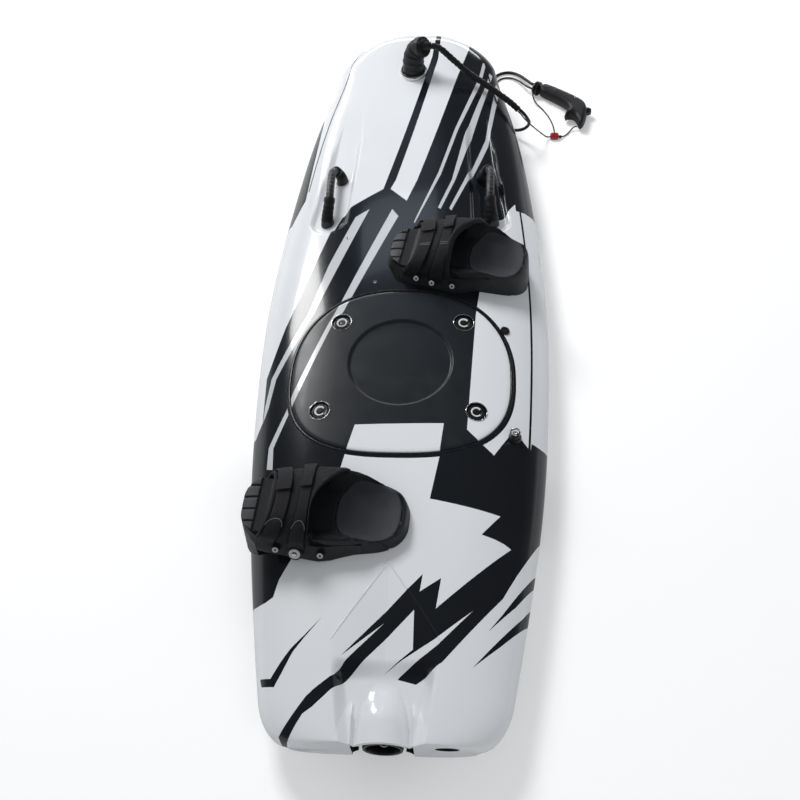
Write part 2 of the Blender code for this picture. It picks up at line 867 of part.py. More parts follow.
def make_exhaust(hull, deck):
    back = tail
    hole = as_cutter(oval_bar(exhaust_half, exhaust_tall, back - overrun, back + exhaust_deep, "exhaust_hole"), "exhaust_hole")
    boolean(deck, hole)
    pipe = oval_bar(exhaust_half - gap, exhaust_tall - gap, back + gap, back + exhaust_deep - gap, "exhaust")
    inner = oval_bar(exhaust_half - exhaust_wall, exhaust_tall - exhaust_wall, back - overrun,
                     back + exhaust_deep - 2 * exhaust_wall, "exhaust_inner")
    boolean(pipe, as_cutter(inner, "exhaust_inner"))
    smooth(as_part(pipe, "exhaust_outlet", rubber))


def grip_path(side):
    """The bent tube of a carrying grip, from the aft foot over to the fore foot."""
    aft_y = tail + recess_aft
    fore_y = aft_y + grip_span
    aft = Vector((grip_aft_x * side, aft_y, deck_z(grip_aft_x, aft_y)))
    fore = Vector((grip_fore_x * side, fore_y, deck_z(grip_fore_x, fore_y)))
    top = max(aft.z, fore.z) + grip_rise - recess_depth
    sunk = Vector((0, 0, recess_depth))
    out = Vector((grip_out * side, 0, top))
    corners = (
        aft - sunk, aft + Vector((0, 0, grip_corner / 2)),
        out + Vector((0, aft.y + grip_corner, -grip_corner / 6)), out + Vector((0, (aft.y + fore.y) / 2, 0)),
        out + Vector((0, fore.y - grip_corner / 2, -grip_corner / 6)),
        (fore + out + Vector((0, fore.y, 0))) / 2 + Vector((0, grip_corner / 6, 0)),
        fore + Vector((0, 0, grip_corner / 3)), fore - sunk,
    )
    return route(corners, grip_radius)


def split_path(path, index):
    """Two paths that meet face to face at a point of the first."""
    point = path[index]
    along = (path[index + 1] - path[index - 1]).normalized()
    stub = along * grip_radius / 3
    one = path[:index] + [point - stub, point]
    return one, [point + along * gap, point + along * gap + stub] + path[index + 1:]


def make_grips(top):
    for side, word in ((-1, "left"), (1, "right")):
        path = grip_path(side)
        count = len(path)
        aft, rest = split_path(path, round(count * boot_long_share))
        middle, fore = split_path(rest, len(rest) - round(count * boot_long_share * 0.7))
        as_part(tube(middle, grip_radius, "grip"), f"grip_{word}", rubber)
        for points, kind in ((aft, "aft"), (fore[::-1], "fore")):
            steps = len(points) - 1
            swell = [boot_swell + (boot_flare - boot_swell) * (1 - i / steps) ** 3 for i in range(steps + 1)]
            boot = to_mesh(tube(points, grip_radius, "boot", 3, swell))
            boolean(boot, top)
            smooth(as_part(boot, f"grip_{word}_boot_{kind}", rubber))


def foot_outline(shrink=0.0):
    """The sole's outline, toe at minus X."""
    long, half = foot_long / 2 - shrink, foot_half - shrink
    one = [(x * long, y * half) for x, y in foot_shares]
    other = [(x, -y) for x, y in one[-2:0:-1]]
    return one + other


def arch_places(start, end, steps):
    return [start + (end - start) * i / steps for i in range(steps + 1)]


def arch_size(x):
    """Half the width of the arch and its height at x, straight between its own stations."""
    stations_along = arch_places(arch_toe, arch_heel, arch_steps)
    halves = [foot_half - arch_toe_narrow * ease(0, -arch_toe, -place) ** 2 for place in stations_along]
    reach = arch_heel_rise - arch_toe_rise
    rises = [arch_toe_rise + reach * sin(pi / 2 * i / arch_steps) for i in range(arch_steps + 1)]
    return float(np.interp(x, stations_along, halves)), float(np.interp(x, stations_along, rises))


def arch_half_ring(x, offset, foot):
    """Half round points over the foot at x, from one side's foot up and over to the other's."""
    half, rise = arch_size(x)
    half, rise = half + offset, rise + offset - foot_tall
    points = [Vector((x, -half, foot))]
    steps = 14
    for i in range(steps + 1):
        angle = pi * (1 - i / steps)
        y = half * abs(cos(angle)) ** (2 / arch_power)
        z = foot_tall + rise * abs(sin(angle)) ** (2 / arch_power)
        points.append(Vector((x, -y if cos(angle) < 0 else y, z)))
    return points + [Vector((x, half, foot))]


def arch_band(start, end, inner, outer, foot, name, steps):
    rings = []
    for x in arch_places(start, end, steps):
        rings.append(arch_half_ring(x, outer, foot) + arch_half_ring(x, inner, foot)[::-1])
    return loft(rings, name)


def make_sole(word, place, top):
    mesh = bmesh.new()
    low = [mesh.verts.new((*p, -foot_sink)) for p in foot_outline()]
    high = [mesh.verts.new((*p, foot_tall)) for p in foot_outline(foot_draft)]
    mesh.faces.new(low[::-1])
    mesh.faces.new(high)
    for i in range(len(low)):
        j = (i + 1) % len(low)
        mesh.faces.new((low[i], low[j], high[j], high[i]))
    sole = bevel(from_bmesh(mesh, "sole"), foot_bevel, 2)
    dish = bpy.data.meshes.new("heel_dish")
    ball = bmesh.new()
    bmesh.ops.create_uvsphere(ball, u_segments=24, v_segments=12, radius=1)
    bmesh.ops.scale(ball, verts=ball.verts, vec=(heel_dish_long, heel_dish_half, heel_dish_deep))
    bmesh.ops.translate(ball, verts=ball.verts, vec=(heel_dish_x, 0, foot_tall))
    ball.to_mesh(dish)
    ball.free()
    dish = bpy.data.objects.new("heel_dish", dish)
    bpy.context.scene.collection.objects.link(dish)
    dish.parent = place
    boolean(sole, as_cutter(dish, f"{word}_heel_dish"))
    for i in range(toe_grooves):
        y = toe_groove_pitch * (i - (toe_grooves - 1) / 2)
        groove = box((-foot_long, y - toe_groove / 4, foot_tall - toe_groove),
                     (toe_groove_run - foot_long / 2, y + toe_groove / 4, foot_tall + overrun), "groove")
        groove.parent = place
        boolean(sole, as_cutter(groove, f"{word}_groove_{i + 1}"))
    for side in (-1, 1):
        stations_along = arch_places(arch_toe, arch_heel, arch_steps)
        wall = [(x, side * (arch_size(x)[0] - arch_thick - gap)) for x in stations_along]
        toe, heel = (arch_toe - gap, wall[0][1]), (arch_heel + gap, wall[-1][1])
        out = side * (foot_half + overrun)
        outline = [toe, *wall[1:-1], heel, (heel[0], out), (toe[0], out)]
        cheek = plate(outline[::side], -2 * foot_sink, foot_tall + overrun, "cheek")
        cheek.parent = place
        boolean(sole, as_cutter(cheek, f"{word}_cheek_{side}"))
    boolean(sole, top)
    as_part(sole, f"{word}_binding_sole", rubber, place)


def make_binding(word, x, y, turn, top):
    place = bpy.data.objects.new(f"{word}_binding", None)
    parts.objects.link(place)
    place.location = (x, y, deck_z(x, y))
    place.rotation_euler = (0, 0, turn)
    place.parent = board
    make_sole(word, place, top)
    arch = arch_band(arch_toe, arch_heel, -arch_thick, 0, -foot_sink, "arch", arch_steps)
    boolean(arch, top)
    smooth(as_part(arch, f"{word}_binding_arch", fabric, place))
    for (start, end), kind in ((strap_toe, "toe"), (strap_heel, "heel")):
        strap = arch_band(start, end, strap_gap, strap_gap + strap_thick, strap_foot, "strap", strap_steps)
        smooth(as_part(strap, f"{word}_strap_{kind}", fabric, place))


def make_vent(top):
    x, y = vent_x, hatch_y + vent_fore
    profile = ((0, vent_height), (vent_radius * 0.7, vent_height), (vent_radius, vent_height / 2),
               (vent_radius, -overrun), (0, -overrun))
    vent = turned(profile, "vent", 20)
    vent.location = (x, y, deck_z(x, y))
    boolean(vent, top)
    smooth(as_part(vent, "drain_cap", rubber))


def make_post(top):
    """A low boss carrying a steel eye for the leash."""
    x, y = post_x, hatch_y - post_aft
    z = deck_z(x, y)
    profile = ((0, post_height), (post_radius * 0.75, post_height), (post_radius, post_height * 0.6),
               (post_radius * 1.2, -overrun), (0, -overrun))
    post = turned(profile, "post", 20)
    post.location = (x, y, z)
    boolean(post, top)
    smooth(as_part(post, "leash_post", rubber))
    eye = turned([(eye_radius + eye_wire * cos(2 * pi * i / 8), -eye_wire * sin(2 * pi * i / 8)) for i in range(8)], "eye", 14)
    eye.rotation_euler = (pi / 2, 0, 0)
    eye.location = (x, y, z + post_height + gap + eye_radius + eye_wire)
    smooth(as_part(eye, "leash_eye", steel))


def make_outlet(top):
    """The ring and the bent rubber boot that the throttle cable leaves through."""
    x, y = outlet_x, nose - outlet_inset
    z = deck_z(x, y)
    profile = ((ring_outer * 0.9, ring_height), (ring_outer, ring_height / 2), (ring_outer, -overrun),
               (ring_inner, -overrun), (ring_inner, ring_height))
    ring = turned(profile, "outlet_ring", 28)
    ring.location = (x, y, z)
    boolean(ring, top)
    smooth(as_part(ring, "outlet_ring", chrome))
    low = z - boot_sunk
    points = [(x + a * boot_reach, y + b * boot_reach, low + c * boot_rise) for a, b, c in boot_shares]
    boot = to_mesh(tube(points, boot_base, "cable_boot", 4, boot_swell_shares))
    boolean(boot, top)
    smooth(as_part(boot, "cable_boot", rubber))


def handle_frame():
    frame = bpy.data.objects.new("throttle", None)
    parts.objects.link(frame)
    frame.location = (handle_x, nose - handle_inset, collar_radius)
    frame.rotation_euler = (0, 0, handle_turn)
    frame.parent = board
    return frame


def make_handle():
    frame = handle_frame()
    half = handle_thick / 2
    outline = [(u * handle_long, -v * handle_hook) for u, v in handle_shares][::-1]
    grip = plate(outline, -half, half, "handle")
    bevel(grip, handle_bevel / 3, 2, radians(60))
    as_part(grip, "throttle_grip", rubber, frame)
    groove = collar_radius - collar_groove
    third = collar_long / 3
    profile = (
        (0, 0), (groove, 0), (collar_radius, -collar_groove), (collar_radius, -third), (groove, -third - collar_groove),
        (groove, -2 * third), (collar_radius, -2 * third - collar_groove), (collar_radius, -collar_long),
        (0, -collar_long),
    )
    collar = turned(profile, "collar", 18)
    collar.rotation_euler = (0, pi / 2, 0)
    smooth(as_part(collar, "throttle_collar", plastic, frame))
    one, two = [Vector(point) for point in outline[::-1][button_edge:button_edge + 2]]
    edge = (two - one).normalized()
    out = Vector((-edge.y, edge.x))
    button = turned(((0, button_long), (button_half * 0.8, button_long), (button_half, button_long * 0.7),
                     (button_half, 0), (0, 0)), "button", 16)
    button.rotation_euler = (0, pi / 2, atan2(out.y, out.x))
    button.location = (*((one + two) / 2 + out * gap), 0)
    smooth(as_part(button, "stop_button", plastic, frame))


def make_clip():
    half = (clip_long / 2, clip_wide / 2)
    clip = bevel(box((-half[0], -half[1], 0), (half[0], half[1], clip_tall), "clip"), clip_bevel, 2)
    as_part(clip, "stop_clip", red)
    clip.location = (clip_x, nose - clip_inset, gap)


def from_nose(points):
    return [(x, nose + y, z) for x, y, z in points]


def make_cords():
    sleeve = route(from_nose(sleeve_route), 5 * sleeve_radius / 2)
    as_part(tube(sleeve, sleeve_radius, "sleeve", 3), "cable_sleeve", rubber)
    cable = route(from_nose(cable_route), 5 * cable_radius)
    as_part(tube(cable, cable_radius, "cable", 2), "throttle_cable", rubber)
    stop = route(from_nose(stop_cable_route), 6 * stop_cable_radius)
    as_part(tube(stop, stop_cable_radius, "stop", 2), "stop_cable", rubber)
    for name, points in lanyard_routes.items():
        line = route(from_nose(points), 6 * lanyard_radius)
        as_part(tube(line, lanyard_radius, name, 2), name, rubber)


for thing in list(bpy.data.objects):
    bpy.data.objects.remove(thing)

parts = make_collection("motorized_surfboard")
cutters = make_collection("cutters")
board = bpy.data.objects.new("board", None)
parts.objects.link(board)

white = material("pearl white", (0.78, 0.80, 0.82), 0.12)
satin_black = material("satin black", (0.015, 0.016, 0.018), 0.35)
rubber = material("black rubber", (0.02, 0.02, 0.022), 0.55)
plastic = material("black plastic", (0.018, 0.018, 0.02), 0.35)
fabric = material("black padding", (0.016, 0.016, 0.018), 0.85)
steel = material("stainless steel", (0.62, 0.62, 0.60), 0.25, 1.0)
chrome = material("chrome", (0.8, 0.8, 0.8), 0.08, 1.0)
dark_metal = material("dark anodised metal", (0.10, 0.10, 0.11), 0.4, 1.0)
red = material("red plastic", (0.45, 0.01, 0.015), 0.3)

hull = make_hull()
deck = make_deck()
deck_seat = shell_copy(deck_section, gap, "deck_seat")
hull_seat = shell_copy(hull_section, -gap, "hull_seat")
cut_tunnel(hull, deck)
cut_bay(hull, deck)
make_hatch()
make_engine()
make_pump()
make_impeller()
make_grate()
make_fins(hull_seat)
make_exhaust(hull, deck)
make_grips(deck_seat)
make_binding("front", front_x, hatch_y + hatch_fore + front_room + foot_half, front_turn, deck_seat)
make_binding("rear", rear_x, hatch_y - hatch_aft - rear_room - foot_half, rear_turn, deck_seat)
make_vent(deck_seat)
make_post(deck_seat)
make_outlet(deck_seat)
make_handle()
make_clip()
make_cords()
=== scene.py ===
"""A motorized surfboard with its throttle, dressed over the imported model. Metres, +Y nose, +Z up."""
import json
from functools import cache
from math import cos, hypot, pi, radians, sin, sqrt

import bmesh
import bpy
import numpy as np
from mathutils import Matrix, Vector
from mathutils.geometry import delaunay_2d_cdt


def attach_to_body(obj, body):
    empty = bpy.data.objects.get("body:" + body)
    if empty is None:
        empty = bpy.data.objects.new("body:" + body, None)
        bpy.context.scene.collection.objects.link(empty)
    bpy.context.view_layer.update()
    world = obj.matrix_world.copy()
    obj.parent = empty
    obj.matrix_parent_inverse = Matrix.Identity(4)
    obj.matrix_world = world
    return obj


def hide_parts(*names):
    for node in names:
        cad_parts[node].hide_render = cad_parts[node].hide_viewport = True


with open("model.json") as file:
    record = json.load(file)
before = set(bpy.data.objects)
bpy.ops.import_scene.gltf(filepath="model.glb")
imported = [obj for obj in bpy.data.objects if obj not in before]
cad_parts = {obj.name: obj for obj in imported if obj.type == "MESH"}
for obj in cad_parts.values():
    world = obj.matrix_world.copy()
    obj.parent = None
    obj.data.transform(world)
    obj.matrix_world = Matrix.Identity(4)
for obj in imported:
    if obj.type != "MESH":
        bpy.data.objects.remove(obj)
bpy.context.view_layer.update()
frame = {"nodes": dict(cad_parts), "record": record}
scene = bpy.context.scene

# ---------------------------------------------------------------- camera
pitch, yaw, roll = radians(55.34), radians(-7.35), radians(-5.67)
eye = Vector((0.146, -1.364, 1.771))
focal_px, picture_px, sensor_mm = 1008.3, 800, 36
forward = Vector((sin(yaw) * cos(pitch), cos(yaw) * cos(pitch), -sin(pitch)))
side = Vector((cos(yaw), -sin(yaw), 0))
up = side.cross(forward)
side, up = cos(roll) * side + sin(roll) * up, -sin(roll) * side + cos(roll) * up
camera = bpy.data.objects.new("camera", bpy.data.cameras.new("camera"))
scene.collection.objects.link(camera)
camera.data.sensor_width = sensor_mm
camera.data.lens = focal_px / picture_px * sensor_mm
camera.matrix_world = Matrix((
    (side.x, up.x, -forward.x, eye.x), (side.y, up.y, -forward.y, eye.y),
    (side.z, up.z, -forward.z, eye.z), (0, 0, 0, 1)))
scene.camera = camera
scene.view_settings.view_transform = "Standard"

# ---------------------------------------------------------------- sizes, as in the solids
length, beam = 1.81, 0.604
tail, nose = -length / 2, length / 2
rail_height, crown_height = 0.080, 0.083
nose_lift, nose_round, nose_edge = 0.055, 0.120, 0.060
tail_round, tail_inset, tail_rise, nose_rise = 0.075, 0.045, 0.050, 0.105
rocker_aft, rocker_fore = 0.705, 0.555
hatch_y = tail + 0.720
hatch_half, hatch_fore, hatch_aft = 0.219, 0.197, 0.195
beam_table = ((0.0, 0.672), (0.10, 0.785), (0.25, 0.924), (0.37, 0.981), (0.49, 1.0),
              (0.66, 0.94), (0.83, 0.80), (0.92, 0.665), (1.0, 0.585))
crown_table = ((0.0, 0.58), (0.17, 0.92), (0.30, 1.0), (0.60, 1.0), (0.85, 0.70), (0.95, 0.52), (1.0, 0.40))
seam_gap, gap = 0.0003, 0.0003
# rear facets: their apex and foot ahead of the tail, and the foot's distance from the middle
facet_apex, facet_foot, facet_reach = 0.305, 0.172, 0.090
facet_slant = (facet_apex - facet_foot) / facet_reach
recess_aft, recess_turn, recess_fore, recess_half = 1.150, 1.305, 1.545, 0.048
jet_z, pump_outer, pump_from, duct_end = 0.072, 0.038, 0.067, 0.285
exhaust_x, exhaust_z = 0.107, 0.097
well_inset, well_floor, above_deck = 0.014, 0.012, 0.2
hatch_powers = 2.2, 2.7  # of its rounded outline, fore and aft
dish_y, dish_inner, dish_outer = hatch_y + 0.015, 0.0990, 0.1065
rail_shares = 0.875, -0.875  # of the half beam, where the thin black lines run

# ---------------------------------------------------------------- cords
cord_routes = {
    "cable_sleeve": ((0.0375, -0.1645, 0.2325), (0.060, -0.169, 0.226), (0.092, -0.180, 0.200), (0.128, -0.197, 0.176),
                     (0.168, -0.217, 0.158), (0.208, -0.238, 0.139), (0.234, -0.251, 0.125), (0.252, -0.260, 0.112)),
    "throttle_cable": (
        (0.2538, -0.2575, 0.1117), (0.2613, -0.2613, 0.1063), (0.2735, -0.2635, 0.090), (0.280, -0.257, 0.066),
        (0.268, -0.245, 0.039), (0.243, -0.223, 0.017), (0.215, -0.190, 0.0055), (0.197, -0.135, 0.0042),
        (0.186, -0.075, 0.0042), (0.188, -0.023, 0.0042), (0.206, 0.013, 0.0042), (0.236, 0.022, 0.0050),
        (0.262, 0.006, 0.0085), (0.282, -0.023, 0.0145), (0.2960, -0.0434, 0.0180), (0.3058, -0.0503, 0.0183)),
    "stop_cable": (
        (0.1935, -0.067, 0.0027), (0.1965, -0.037, 0.0027), (0.206, -0.010, 0.0027), (0.223, 0.002, 0.0028),
        (0.243, -0.001, 0.0045), (0.262, -0.019, 0.0090), (0.276, -0.042, 0.0145), (0.2874, -0.0569, 0.0178),
        (0.2965, -0.0634, 0.0183)),
    "lanyard_long": (
        (0.2501, -0.2649, 0.1117), (0.2561, -0.2679, 0.1073), (0.270, -0.275, 0.093), (0.290, -0.268, 0.065),
        (0.312, -0.252, 0.031), (0.328, -0.2405, 0.0085), (0.3372, -0.2380, 0.0064)),
    "lanyard_collar": (
        (0.3007, -0.0796, 0.0185), (0.2966, -0.0855, 0.0150), (0.304, -0.104, 0.0065), (0.322, -0.128, 0.0020),
        (0.337, -0.158, 0.0018), (0.346, -0.190, 0.0020), (0.3490, -0.2200, 0.0045), (0.3490, -0.2291, 0.0060)),
    "lanyard_grip": (
        (0.3584, -0.2370, 0.0060), (0.3665, -0.2366, 0.0045), (0.379, -0.2265, 0.0022),
        (0.390, -0.2125, 0.0035), (0.3986, -0.2058, 0.0090), (0.4063, -0.2048, 0.0105)),
}
cord_sizes = {"cable_sleeve": 0.016, "throttle_cable": 0.008, "stop_cable": 0.005,
              "lanyard_long": 0.003, "lanyard_collar": 0.003, "lanyard_grip": 0.003}


def evenly(line, count):
    """Evenly spaced places along a line of vectors."""
    places = np.concatenate(([0], np.cumsum([(b - a).length for a, b in zip(line, line[1:])])))
    wanted = np.linspace(0, places[-1], count)
    return np.stack([np.interp(wanted, places, [p[k] for p in line]) for k in range(len(line[0]))], -1)


def smooth_route(points, count):
    """Evenly spaced points on a smooth curve through a route."""
    points = [Vector(p) for p in points]
    padded = [2 * points[0] - points[1], *points, 2 * points[-1] - points[-2]]
    fine = [points[0]]
    for a, b, c, d in zip(padded, padded[1:], padded[2:], padded[3:]):
        for i in range(1, 17):
            t = i / 16
            fine.append(0.5 * (2 * b + (c - a) * t + (2 * a - 5 * b + 4 * c - d) * t * t
                               + (3 * b - a - 3 * c + d) * t ** 3))
    return [Vector(p) for p in evenly(fine, count)]


# ---------------------------------------------------------------- forms shared with the solids
def curve_through(table, place):
    """Smooth values at places, through (place, value) points."""
    places, values = np.array(table).T
    slopes = np.gradient(values, places)
    place = np.clip(place, places[0], places[-1])
    i = np.clip(np.searchsorted(places, place, side="right") - 1, 0, len(places) - 2)
    run = places[i + 1] - places[i]
    t = (place - places[i]) / run
    return ((1 + 2 * t) * (1 - t) ** 2 * values[i] + t * (1 - t) ** 2 * run * slopes[i]
            + t * t * (3 - 2 * t) * values[i + 1] + t * t * (t - 1) * run * slopes[i + 1])


def ease(low, high, value):
    t = np.clip((value - low) / (high - low), 0, 1)
    return t * t * (3 - 2 * t)


def quarter(value):
    return np.sqrt(np.maximum(0, 1 - np.clip(value, 0, 1) ** 2))


def half_beam(y):
    width = beam / 2 * curve_through(beam_table, y / length + 0.5)
    width = width * quarter((y - nose + nose_round) / nose_round)
    return width - tail_inset * (1 - quarter((tail_round + tail - y) / tail_round))


def rail_z(y):
    return rail_height + nose_lift * np.maximum(0, 1 - (nose - y) / rocker_fore) ** 2


def keel_z(y):
    aft = np.maximum(0, 1 - (y - tail) / rocker_aft)
    return tail_rise * aft ** 1.5 + nose_rise * np.maximum(0, 1 - (nose - y) / rocker_fore) ** 2.2


def pocket(x, y):
    x, y = np.abs(x), y - tail
    facet = 0.09 * np.maximum(0, facet_apex - y - facet_slant * x)
    depth = facet + (0.026 - facet) * (1 - ease(0.105, 0.138, y))
    edge = 0.074 + (0.100 - 0.074) * np.minimum(1, y / facet_foot)
    return depth * (1 - ease(edge - 0.024, edge, x))


def jet_hump(x, y):
    x, y = np.abs(x), y - tail
    half = 0.046 * quarter(y / 0.104) + gap
    hump = 0.026 * (1 - ease(0.034, 0.104, y)) * np.maximum(0, 1 - (x / half) ** 2) ** 0.8
    share = np.maximum(0, 1 - y / 0.076)
    across = np.abs(x - 0.051) / (np.where(x > 0.051, 0.025, 0.006) * np.sqrt(share) + gap)
    return np.maximum(hump, 0.010 * (1 - ease(0.041, 0.076, y)) * np.maximum(0, 1 - across))


def grip_recess(x, y):
    y = y - tail
    fore = np.maximum(0, (y - recess_aft) / (recess_fore - recess_aft))
    across = (np.abs(x) - 0.180 + 0.035 * fore) / (recess_half * np.maximum(1 - fore / 2, 0.05))
    along = np.maximum(0, recess_aft - y) / recess_half
    return 0.016 * (1 - ease(recess_turn, recess_fore, y)) * ease(0, 0.6, 1 - across ** 2 - along ** 2)


def crease(x, y):
    """A low bead along the two lines where the rear facets start."""
    x, y = np.abs(x), y - tail
    away = np.abs(facet_apex - y - facet_slant * x) / hypot(1, facet_slant)
    return 0.0015 * np.maximum(0, 1 - (away / 0.0026) ** 2) ** 2 * (1 - ease(0.088, 0.098, x))


def deck_z(x, y):
    x, y = np.asarray(x, float), np.asarray(y, float)
    share = np.minimum(np.abs(x) / np.maximum(half_beam(y), 1e-6), 1)
    crown = crown_height * curve_through(crown_table, y / length + 0.5)
    body = crown * (1 - share ** 3) ** 0.7 * quarter((y - nose + nose_edge) / nose_edge)
    shape = jet_hump(x, y) + crease(x, y) - pocket(x, y) - grip_recess(x, y)
    return rail_z(y) + np.maximum(0, body + shape * np.minimum(1, 4 * (1 - share)))


def hull_z(share, y):
    bilge = np.clip((np.abs(share) - 0.5) / 0.5, 0, 1)
    depth = (1 - bilge ** 2.2) ** (1 / 2.2)
    return rail_z(y) - (rail_z(y) - keel_z(y)) * quarter((y - nose + nose_edge) / nose_edge) * depth


def field_normals(surface, x, y, step=0.0002):
    """Upward normals of a height field."""
    dx = (surface(x + step, y) - surface(x - step, y)) / (2 * step)
    dy = (surface(x, y + step) - surface(x, y - step)) / (2 * step)
    n = np.stack([-dx, -dy, np.ones_like(dx)], -1)
    return n / np.linalg.norm(n, axis=-1, keepdims=True)


# ---------------------------------------------------------------- small mesh tools
def attach(thing, body, nodes=()):
    """Puts a piece on a body, in the place of CAD nodes."""
    if nodes:
        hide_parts(*nodes)
    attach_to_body(thing, body)


def link(data, name, materials=(), body=None, nodes=()):
    thing = bpy.data.objects.new(name, data)
    scene.collection.objects.link(thing)
    if not data.materials:
        for look in materials:
            data.materials.append(look)
    if body:
        attach(thing, body, nodes)
    return thing


def mesh_of(points, faces, name, smooth=True, angle=35, indices=None):
    data = bpy.data.meshes.new(name)
    data.from_pydata([tuple(p) for p in points], [], [tuple(f) for f in faces])
    if indices is not None:
        data.polygons.foreach_set("material_index", np.asarray(indices, np.int32))
    if smooth:
        data.shade_smooth()
        if angle:
            data.set_sharp_from_angle(angle=radians(angle))
    data.update()
    return data


def oriented(data, angle=35):
    """The mesh with its faces turned outwards."""
    mesh = bmesh.new()
    mesh.from_mesh(data)
    bmesh.ops.remove_doubles(mesh, verts=mesh.verts, dist=1e-7)
    bmesh.ops.recalc_face_normals(mesh, faces=mesh.faces)
    mesh.to_mesh(data)
    mesh.free()
    data.shade_smooth()
    data.set_sharp_from_angle(angle=radians(angle))
    return data


def loft(rings, name, closed=False, caps=True, angle=35):
    """A surface through rings of equal point counts."""
    count = len(rings[0])
    points = [p for ring in rings for p in ring]
    faces = []
    for r in range(len(rings) if closed else len(rings) - 1):
        a, b = r * count, (r + 1) % len(rings) * count
        for i in range(count):
            j = (i + 1) % count
            faces.append((a + i, a + j, b + j, b + i))
    if caps and not closed:
        faces += [tuple(range(count)), tuple(range((len(rings) - 1) * count, len(rings) * count))]
    return oriented(mesh_of(points, faces, name), angle)


def prism(points, low, high, name, across=False):
    """An outline between two levels: over the floor, or along X for (y, z) points."""
    def at(p, level):
        return (level, p[0], p[1]) if across else (p[0], p[1], level)
    return loft([[at(p, low) for p in points], [at(p, high) for p in points]], name, angle=30)


def turned(profile, name, steps=48, place=(0, 0, 0), axis=None, angle=35):
    """A body turned from (radius, height) points; it closes at radius 0."""
    rings = [[(r * cos(2 * pi * i / steps), r * sin(2 * pi * i / steps), z) for i in range(steps)] for r, z in profile]
    points, faces, starts = [], [], []
    for (r, z), ring in zip(profile, rings):
        starts.append(len(points))
        points += ring if r > 1e-7 else [(0, 0, z)]
    for k in range(len(profile) - 1):
        one, two = profile[k][0] > 1e-7, profile[k + 1][0] > 1e-7
        for i in range(steps):
            j = (i + 1) % steps
            a, b = starts[k], starts[k + 1]
            face = ([a + i, a + j] if one else [a]) + ([b + j, b + i] if two else [b])
            if len(face) > 2:
                faces.append(face)
    data = oriented(mesh_of(points, faces, name), angle)
    turn = Vector((0, 0, 1)).rotation_difference(Vector(axis)).to_matrix().to_4x4() if axis else Matrix()
    data.transform(Matrix.Translation(place) @ turn)
    return data


def tube(points, radii, name, sides=16, caps=True, flat=1.0, angle=60):
    """A tube along points, with a radius at each, kept free of twist."""
    points = [Vector(p) for p in points]
    radii = [radii] * len(points) if np.isscalar(radii) else list(radii)
    ahead = [(points[min(i + 1, len(points) - 1)] - points[max(i - 1, 0)]).normalized() for i in range(len(points))]
    out = ahead[0].orthogonal().normalized()
    rings = []
    for point, along, radius in zip(points, ahead, radii):
        out = (out - along * out.dot(along)).normalized()
        other = along.cross(out)
        rings.append([point + radius * (cos(2 * pi * i / sides) * out + flat * sin(2 * pi * i / sides) * other)
                      for i in range(sides)])
    return loft(rings, name, caps=caps, angle=angle)


def joined(meshes, name):
    """Several meshes as one, each keeping its own materials."""
    mesh = bmesh.new()
    looks = []
    for data in meshes:
        first = len(mesh.faces)
        mesh.from_mesh(data)
        mesh.faces.ensure_lookup_table()
        mapping = []
        for look in data.materials:
            if look not in looks:
                looks.append(look)
            mapping.append(looks.index(look))
        for face in mesh.faces[first:]:
            face.material_index = mapping[face.material_index] if mapping else 0
    made = bpy.data.meshes.new(name)
    mesh.to_mesh(made)
    mesh.free()
    for look in looks:
        made.materials.append(look)
    return made


def with_look(data, look):
    """The mesh in one look."""
    data.materials.append(look)
    return data


def evaluated(thing):
    """The mesh as a piece's modifiers leave it; the modifiers are then taken off."""
    bpy.context.view_layer.update()
    made = bpy.data.meshes.new_from_object(thing.evaluated_get(bpy.context.evaluated_depsgraph_get()))
    thing.modifiers.clear()
    thing.data = made
    return made


def cut_by(thing, cutters):
    """Takes the cutters out of a closed mesh; the cut faces take the cutters' materials."""
    cutters = [link(data, "cutter") for data in cutters]
    for cutter in cutters:
        change = thing.modifiers.new("cut", "BOOLEAN")
        change.operation, change.solver, change.object = "DIFFERENCE", "MANIFOLD", cutter
        change.material_mode = "TRANSFER"
    made = evaluated(thing)
    for cutter in cutters:
        bpy.data.objects.remove(cutter)
    made.shade_smooth()
    made.set_sharp_from_angle(angle=radians(30))
    return made


def piece(name, parts, node, body="board"):
    """A finished piece of one or more meshes on a body, in the place of a CAD node."""
    link(joined(parts, name) if isinstance(parts, list) else parts, name, (), body, [node] if node else ())


def inside(polygon, x, y):
    """Which points lie inside a polygon."""
    polygon = np.asarray(polygon, float)
    found = np.zeros(np.shape(x), bool)
    for (ax, ay), (bx, by) in zip(polygon, np.roll(polygon, -1, 0)):
        if ay != by:
            found ^= ((ay > y) != (by > y)) & (x < (bx - ax) * (y - ay) / (by - ay) + ax)
    return found


def divided(a, b, step):
    """Even places from one plan point up to another, which is left out."""
    parts = max(1, round(hypot(b[0] - a[0], b[1] - a[1]) / step))
    return [(a[0] + (b[0] - a[0]) * i / parts, a[1] + (b[1] - a[1]) * i / parts) for i in range(parts)]


def sheet_of(points, loops, lines=(), step=0.006):
    """Triangles over plan points, held to closed loops and open lines."""
    points = [Vector(p) for p in points]
    edges = []
    for group, closed in [(loop, True) for loop in loops] + [(line, False) for line in lines]:
        first = len(points)
        for a, b in zip(group, [*group[1:], group[0]] if closed else [*group[1:], group[-1]]):
            points += [Vector(p) for p in divided(a, b, step)]
        last = len(points)
        edges += [(i, i + 1) for i in range(first, last - 1)] + ([(last - 1, first)] if closed else [])
    flat, _, faces, _, _, _ = delaunay_2d_cdt(points, edges, [], 0, 1e-6)
    return np.array([tuple(p) for p in flat]), np.array([f for f in faces if len(f) == 3])


